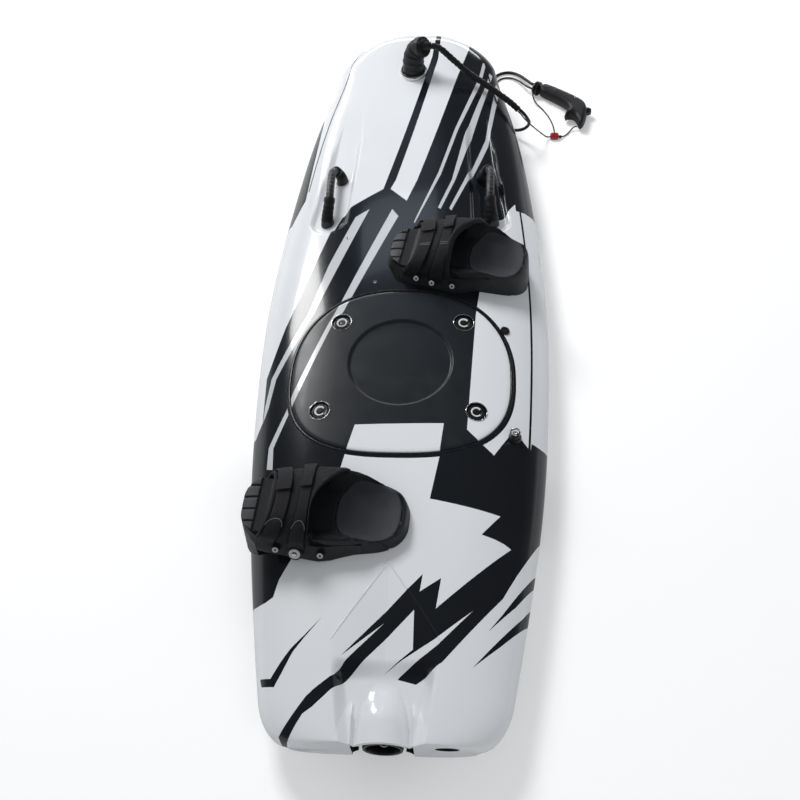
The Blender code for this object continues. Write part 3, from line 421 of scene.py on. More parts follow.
def only(flat, faces, kept):
    """The chosen triangles, with the points that they use."""
    used, faces = np.unique(faces[kept], return_inverse=True)
    return flat[used], faces.reshape(-1, 3)


def between(upper, lower):
    """Faces down from one closed loop of vertices to another."""
    ahead = [*range(1, len(upper)), 0]
    return [(upper[j], upper[i], lower[i], lower[j]) for i, j in enumerate(ahead)]


def boundary_of(faces):
    """Loops of vertices round the edge of triangles, in order."""
    ahead = {}
    pairs = {(int(a), int(b)) for f in faces for a, b in zip(f, np.roll(f, -1))}
    for a, b in pairs:
        if (b, a) not in pairs:
            ahead[a] = b
    loops = []
    while ahead:
        start, here = next(iter(ahead.items()))
        loop = [start]
        del ahead[start]
        while here != start:
            loop.append(here)
            here = ahead.pop(here)
        loops.append(loop)
    return loops


def read(items, name, kind=np.float32, width=1):
    """A value of every vertex, corner or face."""
    found = np.zeros(len(items) * width, kind)
    items.foreach_get(name, found)
    return found.reshape(-1, width) if width > 1 else found


def shade_by(data, surface, chosen):
    """Sets the exact normals of a height field on the chosen faces."""
    corners = read(data.corner_normals, "vector", width=3)
    owner = read(data.loops, "vertex_index", np.int32)
    starts, totals = (read(data.polygons, name, np.int32) for name in ("loop_start", "loop_total"))
    places = read(data.vertices, "co", width=3)[owner]
    middle = np.add.reduceat(places, starts, axis=0) / totals[:, None]
    face_of = np.repeat(np.arange(len(starts)), totals)
    where = chosen[face_of]
    # a little inwards, so that a corner on an edge takes its own face's side of it
    place = places[where] * 0.92 + middle[face_of][where] * 0.08
    corners[where] = surface(place[:, 0].astype(float), place[:, 1].astype(float))
    data.normals_split_custom_set([tuple(n) for n in corners])


# ---------------------------------------------------------------- materials
def node(tree, kind, **settings):
    """A node with its settings. An input takes a value or a socket to link; _0 stands for the first input."""
    made = tree.nodes.new(kind)
    for key, value in settings.items():
        if hasattr(made, key):
            setattr(made, key, value)
            continue
        socket = made.inputs[int(key[1:]) if key[1:].isdigit() else key.replace("_", " ")]
        if isinstance(value, bpy.types.NodeSocket):
            tree.links.new(value, socket)
        else:
            socket.default_value = value
    return made


def finish(name, low, high, rough, scale=40.0, spread=0.06, metallic=0.0, coat=0.0, coat_rough=0.05, sheen=0.0,
           bump=0.15, bump_scale=600.0, bump_depth=0.0003, specular=0.5, pattern="NOISE", stretch=(1, 1, 1)):
    """A finish with colour and roughness that vary, and a fine relief."""
    look = bpy.data.materials.new(name)
    look.use_nodes = True
    tree = look.node_tree
    shader = tree.nodes["Principled BSDF"]
    for key, value in (("Metallic", metallic), ("Coat Weight", coat), ("Coat Roughness", coat_rough),
                       ("Sheen Weight", sheen), ("Specular IOR Level", specular)):
        shader.inputs[key].default_value = value
    place = node(tree, "ShaderNodeTexCoord").outputs["Object"]
    place = node(tree, "ShaderNodeMapping", Vector=place, Scale=stretch).outputs["Vector"]
    cloud = node(tree, "ShaderNodeTexNoise", Vector=place, Scale=scale, Detail=5.0, Roughness=0.6).outputs["Fac"]
    colour = node(tree, "ShaderNodeMix", data_type="RGBA", _0=cloud, _6=(*low, 1), _7=(*high, 1)).outputs[2]
    rough = node(tree, "ShaderNodeMapRange", Value=cloud, From_Min=0.3, From_Max=0.7,
                 To_Min=max(rough - spread, 0.02), To_Max=rough + spread).outputs["Result"]
    if pattern == "WEAVE":
        one, two = (node(tree, "ShaderNodeTexWave", bands_direction=way, Vector=place, Scale=bump_scale,
                         Distortion=0.4).outputs["Fac"] for way in ("DIAGONAL", "X"))
        relief = node(tree, "ShaderNodeMath", operation="MULTIPLY", _0=one, _1=two).outputs[0]
    elif pattern == "CELLS":
        relief = node(tree, "ShaderNodeTexVoronoi", Vector=place, Scale=bump_scale).outputs["Distance"]
    else:
        relief = node(tree, "ShaderNodeTexNoise", Vector=place, Scale=bump_scale, Detail=3.0).outputs["Fac"]
    normal = node(tree, "ShaderNodeBump", Strength=bump, Distance=bump_depth, Height=relief).outputs["Normal"]
    for key, socket in (("Base Color", colour), ("Roughness", rough), ("Normal", normal)):
        tree.links.new(socket, shader.inputs[key])
    return look


def hatched(name, low, high):
    """A light lacquer ruled with fine slanting lines."""
    look = finish(name, low, low, 0.16, coat=0.6)
    tree = look.node_tree
    place = node(tree, "ShaderNodeTexCoord").outputs["Object"]
    turn = node(tree, "ShaderNodeMapping", Vector=place, Rotation=(0, 0, radians(38))).outputs["Vector"]
    lines = node(tree, "ShaderNodeTexWave", bands_direction="X", Vector=turn, Scale=95.0, Distortion=0.0)
    ramp = node(tree, "ShaderNodeValToRGB", Fac=lines.outputs["Fac"])
    for knot, stop, colour in zip(ramp.color_ramp.elements, (0.35, 0.65), (low, high)):
        knot.position, knot.color = stop, (*colour, 1)
    tree.links.new(ramp.outputs["Color"], tree.nodes["Principled BSDF"].inputs["Base Color"])
    return look


pearl = finish("pearl_white", (0.72, 0.735, 0.76), (0.77, 0.785, 0.80), 0.14, 6, 0.03, coat=0.4,
               bump=0.04, bump_scale=260)
pearl_edge = pearl.copy()
gloss_black = finish("gloss_black", (0.0045, 0.0055, 0.0075), (0.0085, 0.0105, 0.014), 0.16, 7, 0.03, coat=0.25,
                     bump=0.04, bump_scale=260)
light_grey = hatched("hatched_grey", (0.42, 0.43, 0.45), (0.66, 0.67, 0.69))
satin_black = finish("satin_black", (0.008, 0.010, 0.013), (0.015, 0.018, 0.022), 0.36, 30, 0.06, coat=0.12,
                     coat_rough=0.09, bump=0.08, bump_scale=900, bump_depth=0.0002)
well_black = finish("moulded_black", (0.012, 0.012, 0.013), (0.024, 0.024, 0.026), 0.5, 60, 0.08, bump=0.2,
                    bump_scale=1200)
rubber = finish("black_rubber", (0.006, 0.006, 0.007), (0.014, 0.014, 0.016), 0.46, 90, 0.10, specular=0.4,
                bump=0.25, bump_scale=1500, bump_depth=0.0002)
sole_black = finish("moulded_sole", (0.006, 0.0065, 0.0075), (0.014, 0.015, 0.017), 0.52, 70, 0.08, specular=0.35,
                    bump=0.35, bump_scale=1300, bump_depth=0.0004, pattern="CELLS")
toe_black = finish("toe_tread", (0.022, 0.023, 0.027), (0.036, 0.038, 0.044), 0.55, 90, 0.08, bump=0.4,
                   bump_scale=1300, bump_depth=0.0004, pattern="CELLS")
insole = finish("heel_insole", (0.020, 0.0215, 0.026), (0.034, 0.0365, 0.043), 0.60, 110, 0.08, bump=0.6,
                bump_scale=1100, bump_depth=0.0005, pattern="CELLS")
plastic = finish("black_plastic", (0.006, 0.006, 0.007), (0.013, 0.013, 0.015), 0.28, 70, 0.06, coat=0.05,
                 bump=0.04, bump_scale=1400)
padding = finish("black_padding", (0.0045, 0.005, 0.006), (0.013, 0.014, 0.017), 0.78, 90, 0.08, sheen=0.02,
                 specular=0.3, bump=0.5, bump_scale=900, bump_depth=0.0004, pattern="CELLS")
webbing = finish("black_webbing", (0.004, 0.004, 0.005), (0.012, 0.012, 0.014), 0.66, 120, 0.08, sheen=0.02,
                 specular=0.35, bump=0.8, bump_scale=420, bump_depth=0.0005, pattern="WEAVE")
grip_skin = finish("grip_wrap", (0.006, 0.006, 0.007), (0.014, 0.014, 0.016), 0.30, 120, 0.06, coat=0.15, bump=0.4,
                   bump_scale=700, bump_depth=0.0003, pattern="WEAVE")
thread = finish("grey_thread", (0.05, 0.052, 0.058), (0.10, 0.105, 0.115), 0.5, 200, 0.06, bump=0.3, bump_scale=900)
steel = finish("brushed_steel", (0.52, 0.52, 0.52), (0.66, 0.66, 0.66), 0.24, 160, 0.07, metallic=1.0, bump=0.12,
               bump_scale=900, stretch=(1, 1, 6))
chrome = finish("chrome", (0.80, 0.80, 0.81), (0.86, 0.86, 0.87), 0.08, 60, 0.03, metallic=1.0, bump=0.03)
dark_metal = finish("dark_metal", (0.07, 0.07, 0.08), (0.13, 0.13, 0.14), 0.38, 120, 0.08, metallic=1.0, bump=0.2,
                    bump_scale=1100)
screw_metal = finish("screw_metal", (0.36, 0.36, 0.37), (0.52, 0.52, 0.53), 0.34, 300, 0.08, bump=0.1)
# the ring pulls of the fasteners: steel coloured light grey, a painted highlight standing for their glint
ring_painted_glint = finish("ring_painted_glint", (0.66, 0.665, 0.68), (0.80, 0.805, 0.82), 0.30, 120, 0.05, bump=0.05)
red_plastic = finish("red_plastic", (0.26, 0.008, 0.012), (0.36, 0.012, 0.018), 0.30, 80, 0.05, coat=0.2, bump=0.1)
cord_black = finish("cord_jacket", (0.006, 0.006, 0.007), (0.015, 0.015, 0.017), 0.45, 200, 0.08, bump=0.2,
                    bump_scale=1600)

# ---------------------------------------------------------------- floor and light
def shown_to_camera(tree):
    """A light path node, and the socket that is 1 for what the camera sees."""
    path = node(tree, "ShaderNodeLightPath")
    seen = node(tree, "ShaderNodeMath", operation="MAXIMUM", _0=path.outputs["Is Camera Ray"],
                _1=path.outputs["Is Transmission Ray"])
    return path, seen.outputs[0]


# the floor: pale paint that glows a little to the camera alone, so that it stays white round the shadow
floor_half = 30
corners = [(x * floor_half, y * floor_half, 0) for x, y in ((-1, -1), (1, -1), (1, 1), (-1, 1))]
floor_look = bpy.data.materials.new("floor")
floor_look.use_nodes = True
tree = floor_look.node_tree
tree.nodes.clear()
_, seen = shown_to_camera(tree)
paint = node(tree, "ShaderNodeBsdfDiffuse", Color=(0.80, 0.80, 0.80, 1))
dark, glow = (node(tree, "ShaderNodeEmission", Strength=power).outputs[0] for power in (0.0, 0.27))
blend = node(tree, "ShaderNodeMixShader", _0=seen, _1=dark, _2=glow)
total = node(tree, "ShaderNodeAddShader", _0=paint.outputs[0], _1=blend.outputs[0])
node(tree, "ShaderNodeOutputMaterial", Surface=total.outputs[0])
floor = link(mesh_of(corners, [(0, 1, 2, 3)], "floor", False), "floor", [floor_look])

# the air: even light, a room that only reflections see, brightest at the horizon, and white to the camera
world = bpy.data.worlds.new("studio")
scene.world = world
world.use_nodes = True
tree = world.node_tree
tree.nodes.clear()
path, seen = shown_to_camera(tree)
way = node(tree, "ShaderNodeTexCoord").outputs["Generated"]
ramp = node(tree, "ShaderNodeValToRGB", Fac=node(tree, "ShaderNodeSeparateXYZ", _0=way).outputs["Z"])
for stop, tone in ((0.0, 1.0), (0.07, 0.60), (0.17, 0.15), (0.40, 0.07), (1.0, 0.10)):
    knots = ramp.color_ramp.elements
    knot = knots[0] if stop == 0 else knots[len(knots) - 1] if stop == 1 else knots.new(stop)
    knot.color = (tone * 0.93, tone * 0.97, tone, 1)
air = node(tree, "ShaderNodeBackground", Strength=0.38, Color=(0.95, 0.97, 1.0, 1))
white = node(tree, "ShaderNodeBackground", Strength=1.0, Color=(1, 1, 1, 1))
room = node(tree, "ShaderNodeBackground", Strength=1.0, Color=ramp.outputs["Color"])
mirror = node(tree, "ShaderNodeMixShader", _0=path.outputs["Is Glossy Ray"], _1=air.outputs[0], _2=room.outputs[0])
blend = node(tree, "ShaderNodeMixShader", _0=seen, _1=mirror.outputs[0], _2=white.outputs[0])
node(tree, "ShaderNodeOutputWorld", Surface=blend.outputs[0])


def lamp(name, place, target, size, power, colour=(1, 1, 1), mirrored=True, lights=True):
    light = bpy.data.lights.new(name, "AREA")
    light.shape, light.size, light.size_y = "RECTANGLE", size[0], size[1]
    light.energy, light.color = power, colour
    thing = bpy.data.objects.new(name, light)
    scene.collection.objects.link(thing)
    thing.location = place
    thing.rotation_euler = (Vector(target) - Vector(place)).to_track_quat("-Z", "Y").to_euler()
    thing.visible_glossy, thing.visible_diffuse = mirrored, lights


lamp("key", (-1.3, 2.3, 3.2), (0, 0, 0), (1.3, 1.3), 124, mirrored=False)
lamp("fill", (1.4, -2.8, 2.8), (0, 0, 0), (2.4, 1.8), 22, mirrored=False)
lamp("panel", (-0.32, 2.35, 2.15), (-0.06, 0.31, 0.16), (0.8, 0.55), 1.8, (0.72, 0.82, 1.0))
lamp("strip", (-0.45, 3.9, 1.35), (0, 0, 0.1), (4.3, 0.28), 42, lights=False)
lamp("softbox", (-1.90, 1.83, 1.74), (-0.2, -0.08, 0.15), (0.80, 1.12), 36, lights=False)

# ---------------------------------------------------------------- livery, as plan polygons in metres
main_black = (
    (0.133, 0.960), (0.133, 0.883), (0.127, 0.827), (0.113, 0.771), (0.102, 0.731), (0.014, 0.354), (-0.007, 0.285),
    (-0.0455, 0.325), (-0.062, 0.325), (-0.152, 0.2555), (-0.165, 0.224), (-0.219, 0.033), (-0.249, -0.061),
    (-0.2775, -0.175), (-0.273, -0.282), (-0.285, -0.312), (-0.360, -0.316), (-0.360, -0.667), (-0.237, -0.667),
    (-0.220, -0.664), (-0.205, -0.657), (-0.197, -0.627), (-0.178, -0.593), (-0.100, -0.409), (-0.0935, -0.377),
    (-0.090, -0.362), (-0.080, -0.320), (0.090, -0.315), (0.084, -0.369), (0.084, -0.384), (0.068, -0.476),
    (0.196, -0.499), (0.162, -0.540), (0.186, -0.546), (0.203, -0.552), (0.215, -0.559), (0.084, -0.683),
    (0.092, -0.628), (0.0555, -0.654), (0.060, -0.622), (0.029, -0.656), (-0.075, -0.766), (-0.004, -0.708),
    (-0.068, -0.774), (-0.084, -0.797), (-0.114, -0.820), (-0.128, -0.833), (-0.140, -0.849), (-0.172, -0.893),
    (-0.162, -0.912), (-0.145, -0.882), (-0.132, -0.861), (-0.116, -0.850), (-0.074, -0.8105), (0.047, -0.686),
    (0.047, -0.752), (-0.003, -0.791), (0.026, -0.771), (0.085, -0.734), (0.1475, -0.682), (0.0895, -0.744),
    (0.0265, -0.792), (0.022, -0.797), (0.053, -0.804), (0.097, -0.773), (0.199, -0.653), (0.223, -0.608),
    (0.273, -0.521), (0.360, -0.500), (0.360, -0.344), (0.2785, -0.334), (0.258, -0.3295), (0.255, -0.347),
    (0.235, -0.325), (0.213, -0.3295), (0.185, -0.375), (0.147, -0.339), (0.134, -0.326), (0.150, -0.040),
    (0.156, 0.0095), (0.178, 0.240), (0.214, 0.265), (0.237, 0.308), (0.239, 0.287), (0.260, 0.291), (0.360, 0.285),
    (0.360, 0.800), (0.250, 0.960),
)
thin_black = ((0.050, 0.960), (0.044, 0.868), (0.036, 0.794), (-0.062, 0.325), (-0.0455, 0.325), (-0.035, 0.355),
              (0.051, 0.786), (0.059, 0.906), (0.060, 0.960))
rail_black = ((-0.360, 0.650), (-0.229, 0.623), (-0.2415, 0.441), (-0.247, 0.332), (-0.274, 0.265), (-0.360, 0.262))
claws = (
    ((0.174, -0.714), (0.199, -0.680), (0.223, -0.644), (0.264, -0.585), (0.262, -0.607), (0.222, -0.662)),
    ((0.147, -0.779), (0.190, -0.729), (0.234, -0.678), (0.254, -0.649), (0.247, -0.684), (0.193, -0.738)),
    ((-0.111, -0.701), (-0.138, -0.729), (-0.163, -0.753), (-0.178, -0.773), (-0.195, -0.799), (-0.2155, -0.796),
     (-0.211, -0.810), (-0.187, -0.814), (-0.1755, -0.793), (-0.158, -0.758), (-0.138, -0.733)),
)
grey_bands = (
    ((0.164, 0.794), (0.154, 0.733), (0.144, 0.696), (0.097, 0.535), (0.062, 0.382), (0.012, 0.216), (0.014, 0.2125),
     (0.067, 0.3715), (0.105, 0.533), (0.154, 0.694), (0.162, 0.732), (0.172, 0.793)),
    ((0.180, 0.7635), (0.174, 0.719), (0.164, 0.681), (0.120, 0.5155), (0.093, 0.356), (0.064, 0.263), (0.070, 0.258),
     (0.101, 0.356), (0.137, 0.512), (0.174, 0.678), (0.182, 0.720), (0.188, 0.759)),
    ((0.197, 0.733), (0.189, 0.6635), (0.170, 0.515), (0.1215, 0.358), (0.089, 0.261), (0.094, 0.254), (0.133, 0.364),
     (0.177, 0.498), (0.200, 0.6655), (0.206, 0.7215)),
    ((-0.089, 0.260), (-0.119, 0.237), (-0.167, 0.097), (-0.201, -0.035), (-0.230, -0.098), (-0.265, -0.181),
     (-0.272, -0.247), (-0.272, -0.283), (-0.263, -0.2515), (-0.254, -0.186), (-0.217, -0.102), (-0.188, -0.038),
     (-0.144, 0.0935)),
    ((-0.038, 0.258), (-0.1275, -0.003), (-0.1405, -0.0405), (-0.152, -0.067), (-0.2125, -0.236), (-0.221, -0.270),
     (-0.2505, -0.348), (-0.249, -0.395), (-0.236, -0.400), (-0.240, -0.352), (-0.2125, -0.272), (-0.204, -0.247),
     (-0.146, -0.078), (-0.124, -0.042), (-0.1025, 0.019), (-0.023, 0.235)),
)
blacks = (main_black, thin_black, rail_black, *claws)


def livery_index(x, y):
    """0 white, 1 black, 2 grey."""
    found = np.zeros(np.shape(x), np.int32)
    for polygon in blacks:
        found[inside(polygon, x, y)] = 1
    for polygon in grey_bands:
        found[inside(polygon, x, y)] = 2
    return found


def rail_line(share):
    """A thin closed band along a share of the half beam, on one side."""
    wide, start = (0.0044, -0.36) if share > 0 else (0.0026, 0.36)
    ys = np.linspace(start, nose - 0.035, 110)
    one = [(half_beam(y) * share - np.sign(share) * wide / 2, y) for y in ys]
    two = [(half_beam(y) * share + np.sign(share) * wide / 2, y) for y in ys[::-1]]
    return one + two


# ---------------------------------------------------------------- deck
def hatch_outline(offset=0.0, count=160):
    angle = 2 * pi * np.arange(count) / count
    fore = np.sin(angle) >= 0
    power = np.where(fore, 2 / hatch_powers[0], 2 / hatch_powers[1])
    reach = np.where(fore, hatch_fore, hatch_aft) + offset
    x = (hatch_half + offset) * np.sign(np.cos(angle)) * np.abs(np.cos(angle)) ** power
    y = hatch_y + np.sign(np.sin(angle)) * reach * np.abs(np.sin(angle)) ** power
    return np.stack([x, y], -1)


def painted_gap_shadow(count=160):
    """A black band painted round the hatch as the shadow in its gap, wider aft and to starboard where that shadow
    falls.
    """
    angle = 2 * pi * np.arange(count) / count
    wide = 0.0064 + 0.0060 * np.clip(0.5 + 0.5 * np.cos(angle + radians(62)), 0, 1)
    inner = hatch_outline(0.0, count)
    outward = np.roll(inner, -1, 0) - np.roll(inner, 1, 0)
    outward = np.stack([outward[:, 1], -outward[:, 0]], -1) / np.linalg.norm(outward, axis=1, keepdims=True)
    return inner + outward * wide[:, None]


def bowl(outline, low, high, rings=14):
    """A closed solid over an outline from a curved lower face to a level top."""
    middle = np.array([0, hatch_y])
    loops = [middle + (outline - middle) * share for share in np.linspace(1, 1 / rings, rings)]
    count = len(outline)
    points = [(x, y, high) for x, y in outline]
    for loop in loops:
        points += [(x, y, z) for (x, y), z in zip(loop, low(loop[:, 0], loop[:, 1]))]
    points.append((0, hatch_y, float(low(np.array([0.0]), np.array([hatch_y]))[0])))
    faces = [tuple(range(count))]
    for r in range(rings):
        a, b = r * count, (r + 1) * count
        faces += [(a + i, b + i, b + (i + 1) % count, a + (i + 1) % count) for i in range(count)]
    last = rings * count
    faces += [(last + i, len(points) - 1, last + (i + 1) % count) for i in range(count)]
    return oriented(mesh_of(points, faces, "bowl"))


def bar_y(x, z, radius, low, high, tall=None, steps=48):
    """A round or oval bar along the board."""
    tall = tall or radius
    ring = [(x + radius * cos(2 * pi * i / steps), z + tall * sin(2 * pi * i / steps)) for i in range(steps)]
    return loft([[(a, y, b) for a, b in ring] for y in (low, high)], "bar", angle=30)


front, back, duct = tail + 0.505, tail + 0.325, tail + duct_end - gap
ramp_side = ((front, -0.02), (back, -0.02), (back, jet_z - pump_outer * 0.7), (duct, jet_z - pump_outer * 0.7),
             (duct, jet_z + pump_outer * 0.7), (back, jet_z + pump_outer * 0.6), (front, float(keel_z(front)) + 0.005))


def notch_arch(y):
    """The opening under the bell shaped cover, seen along the board."""
    x = 0.052 * np.linspace(-1, 1, 41)
    roof = np.min([deck_z(x, np.full(41, tail + d)) for d in (0.0, 0.0315, 0.063)], 0) - 0.007
    return [(0.052, y, -0.02), (-0.052, y, -0.02)] + [(a, y, b) for a, b in zip(x, roof)]


def hatch_well():
    """The cutter for the well under the hatch."""
    return with_look(prism(hatch_outline(-well_inset), well_floor, above_deck, "well"), well_black)


def jet_cutters():
    return [
        with_look(bar_y(0, jet_z, pump_outer + gap, tail - 0.02, tail + duct_end + gap), well_black),
        with_look(prism(ramp_side, -0.036, 0.036, "ramp", True), well_black),
        with_look(loft([notch_arch(tail - 0.02), notch_arch(tail + 0.063)], "notch"), well_black),
    ]


def make_deck():
    fine_to, turn, sculpted = tail + 0.312, nose - nose_round, 0.106
    rows = list(np.arange(tail, fine_to, 0.0026)) + list(np.arange(fine_to, turn, 0.0075))
    rows += list(turn + nose_round * np.sin(pi / 2 * np.linspace(0, 0.98, 26)))
    points, left, right = [], [], []
    for y in rows:
        half = float(half_beam(y))
        if y < fine_to:
            inner = np.linspace(-sculpted, sculpted, 101)
            outer = sculpted + (half - sculpted) * np.sin(pi / 2 * np.linspace(0, 1, 26)[1:])
            xs = np.concatenate([-outer[::-1], inner, outer])
        else:
            xs = half * np.sin(pi / 2 * np.linspace(-1, 1, 93))
        points += [(x, y) for x in xs[1:-1]]
        left.append((-half, y))
        right.append((half, y))
    apex = tail + facet_apex
    lines = []
    for sx in (-1, 1):
        for shift in (-0.0028, -0.0014, 0.0, 0.0014, 0.0028):
            drop = shift * hypot(1, facet_slant)
            lines.append(((0, apex + drop), (sx * 0.1, apex + drop - facet_slant * 0.1)))
    # the band round the hatch, painted black as the shadow in its gap
    band = list(map(tuple, painted_gap_shadow()))
    rails = [rail_line(share) for share in rail_shares]
    loops = [right + left[::-1], *blacks, *grey_bands, band, *rails]
    flat, faces = sheet_of(points, loops, lines)
    middle = flat[faces].mean(1)
    kept = np.abs(middle[:, 0]) < half_beam(middle[:, 1]) * 0.99999
    kept &= (middle[:, 1] > tail) & (middle[:, 1] < rows[-1])
    middle, (flat, faces) = middle[kept], only(flat, faces, kept)
    index = livery_index(middle[:, 0], middle[:, 1])
    # black inside the painted shadow band round the hatch, and in the thin rail lines
    for line in (band, *rails):
        index[inside(line, middle[:, 0], middle[:, 1])] = 1
    seam = rail_z(flat[:, 1]) + seam_gap / 2
    top = np.maximum(deck_z(flat[:, 0], flat[:, 1]), seam)
    edge = boundary_of(faces)[0]
    on_edge = [v for v in edge if abs(flat[v, 1] - tail) > 1e-6]
    top[on_edge] = seam[on_edge]
    verts = [(x, y, z) for (x, y), z in zip(flat, top)]
    under = {}
    for v in edge:
        if abs(flat[v, 1] - tail) <= 1e-6 and top[v] > seam[v] + 1e-6:
            under[v] = len(verts)
            verts.append((flat[v, 0], flat[v, 1], seam[v]))
        else:
            under[v] = v
    walls = []
    for a, b in zip(edge, edge[1:] + edge[:1]):
        face = [b, a, under[a], under[b]]
        face = [v for i, v in enumerate(face) if v != face[i - 1]]
        if len(set(face)) > 2:
            walls.append(tuple(face))
    walls.append(tuple(under[v] for v in reversed(edge)))
    data = mesh_of(verts, [*faces, *walls], "deck_skin", indices=[*index] + [3] * len(walls))
    thing = link(data, "deck_skin", (pearl, gloss_black, light_grey, pearl_edge))
    rabbet = bowl(hatch_outline(0.0062), lambda x, y: deck_z(x, y) - 0.012, above_deck)
    exhaust = bar_y(exhaust_x, exhaust_z, 0.020, tail - 0.02, tail + 0.060, 0.009)
    data = cut_by(thing, [hatch_well(), with_look(rabbet, well_black), *jet_cutters(), with_look(exhaust, rubber)])
    top = np.array([look in (pearl, gloss_black, light_grey) for look in data.materials])
    index = read(data.polygons, "material_index", np.int32)
    shade_by(data, lambda x, y: field_normals(deck_z, x, y), top[index])
    attach(thing, "board", ["deck"])


def make_hull():
    rows = list(np.arange(tail, nose - nose_round, 0.010))
    rows += list(nose - nose_round + nose_round * np.sin(pi / 2 * np.linspace(0, 0.98, 22)))
    bilge = 0.5 + 0.5 * np.sin(pi / 2 * np.linspace(0, 1, 23))
    shares = np.concatenate([bilge[::-1], np.linspace(0.5, -0.5, 18)[1:-1], -bilge])
    rings = []
    for y in rows:
        half, seam = float(half_beam(y)), float(rail_z(y)) - seam_gap / 2
        z = np.minimum(hull_z(shares, np.full(len(shares), y)), seam)
        z[0] = z[-1] = seam
        rings.append([(half * s, y, h) for s, h in zip(shares, z)])
    data = loft(rings, "hull_skin", angle=30)
    thing = link(data, "hull_skin", (pearl, gloss_black))
    x, y, _ = np.array([tuple(p.center) for p in data.polygons]).T
    black = (x > 0) & ((y > 0.285) | ((y < -0.344) & (y > -0.500)))
    black |= (x < 0) & (((y < 0.650) & (y > 0.262)) | ((y < -0.316) & (y > -0.667)))
    black &= np.abs(x) > 0.55 * half_beam(y)
    data.polygons.foreach_set("material_index", black.astype(np.int32))
    shaft = with_look(bar_y(0, jet_z, 0.0068, tail + 0.325, hatch_y + 0.005 - 0.125), well_black)
    cut_by(thing, [hatch_well(), shaft, *jet_cutters()])
    attach(thing, "board", ["hull"])


make_deck()
make_hull()


# ---------------------------------------------------------------- cords
def world_route(name):
    return [(x, nose + y, z) for x, y, z in cord_routes[name]]


def cord_curve(name, radius, count):
    """A smooth round cord through evenly spaced points of its route."""
    curve = bpy.data.curves.new(name + "_line", "CURVE")
    curve.dimensions = "3D"
    curve.bevel_depth = radius
    curve.bevel_resolution = 4
    curve.use_fill_caps = True
    curve.resolution_u = 6
    spline = curve.splines.new("BEZIER")
    spline.bezier_points.add(count - 1)
    for knot, point in zip(spline.bezier_points, smooth_route(world_route(name), count)):
        knot.co = point
        knot.handle_left_type = knot.handle_right_type = "AUTO"
    return link(curve, name + "_line", [cord_black], "board", [name])


def make_cords():
    for name, count, stiffness in (("throttle_cable", 36, "medium"), ("stop_cable", 22, "medium"),
                                   ("lanyard_long", 22, "limp"), ("lanyard_collar", 24, "limp"),
                                   ("lanyard_grip", 16, "limp")):
        wider = 1.1 if stiffness == "limp" else 1.0
        thing = cord_curve(name, cord_sizes[name] / 2 * wider, count)
    # the sleeve: short rubber segments that lap over one another like scales
    name, segments = "cable_sleeve", 23
    points = smooth_route(world_route(name), 190)
    shares = [(i / (len(points) - 1) * segments) % 1 for i in range(len(points))]
    radii = [cord_sizes[name] / 2 * (0.80 + 0.20 * min(1, share * 1.15) ** 0.7) for share in shares]
    thing = link(tube(points, radii, "cable_sleeve_links", 24, angle=25), "cable_sleeve_links", [rubber], "board",
                 [name])


make_cords()

# ---------------------------------------------------------------- hatch
def lid_z(x, y):
    x, y = np.asarray(x, float), np.asarray(y, float)
    fore = y >= hatch_y
    power, reach = np.where(fore, *hatch_powers), np.where(fore, hatch_fore, hatch_aft)
    share = ((np.abs(x) / hatch_half) ** power + (np.abs(y - hatch_y) / reach) ** power) ** (1 / power)
    inward = np.clip((1 - share) * np.hypot(x, y - hatch_y) / np.maximum(share, 0.05), 0, 1)
    edge, bevel = np.clip(1 - inward / 0.0020, 0, 1), np.clip(1 - inward / 0.0085, 0, 1)
    away = np.hypot(x, y - dish_y)
    dished = deck_z(x, y) + 0.002 - 0.0052 * (1 - ease(dish_inner, dish_outer, away))
    return dished - 0.0018 * bevel ** 2 - 0.0014 * (1 - np.sqrt(np.maximum(0, 1 - edge ** 2)))


latches = [(across * hatch_half, hatch_y + along * (hatch_fore if along > 0 else hatch_aft))
           for across, along in ((-0.571, 0.584), (0.571, 0.584), (-0.694, -0.508), (0.694, -0.508))]


def circle(x, y, radius, count=64):
    return [(x + radius * cos(2 * pi * i / count), y + radius * sin(2 * pi * i / count)) for i in range(count)]


def make_lid():
    outline = hatch_outline(0.0, 200)
    grid = [(x, y) for x in np.arange(-0.218, 0.219, 0.006)
            for y in np.arange(hatch_y - hatch_aft, hatch_y + hatch_fore, 0.006)]
    rings = [hatch_outline(-d, 200) for d in (0.0004, 0.0010, 0.0021, 0.0036, 0.0051, 0.0066, 0.0087)]
    dish = [circle(0, dish_y, r, 120) for r in (dish_inner, 0.1004, 0.1018, 0.1034, 0.1050, dish_outer)]
    holes = [circle(x, y, 0.0200) for x, y in latches]
    grid = [p for p in grid if inside(hatch_outline(-0.0100), *p)]
    edges = [list(map(tuple, loop)) for loop in (outline, *rings)]
    flat, faces = sheet_of(grid, [*edges, *dish, *holes, *blacks, *grey_bands])
    middle = flat[faces].mean(1)
    kept = inside(outline, middle[:, 0], middle[:, 1])
    for x, y in latches:
        kept &= np.hypot(middle[:, 0] - x, middle[:, 1] - y) > 0.0199
    middle, (flat, faces) = middle[kept], only(flat, faces, kept)
    index = livery_index(middle[:, 0], middle[:, 1])
    top = lid_z(flat[:, 0], flat[:, 1])
    verts = [(x, y, z) for (x, y), z in zip(flat, top)]
    walls, low_loop = [], []
    for loop in boundary_of(faces):
        low = list(range(len(verts), len(verts) + len(loop)))
        verts += [(flat[v, 0], flat[v, 1], deck_z(flat[v, 0], flat[v, 1]) + gap - 0.012) for v in loop]
        walls += between(loop, low)
        low_loop = max(low_loop, low, key=len)
    walls.append(tuple(reversed(low_loop)))
    data = mesh_of(verts, [*faces, *walls], "hatch_skin", indices=[*index] + [1] * len(walls), angle=30)
    for look in (pearl, satin_black, light_grey):
        data.materials.append(look)
    chosen = np.arange(len(data.polygons)) < len(faces)
    shade_by(data, lambda x, y: field_normals(lid_z, x, y), chosen)
    piece("hatch_skin", data, "hatch_lid", "hatch")


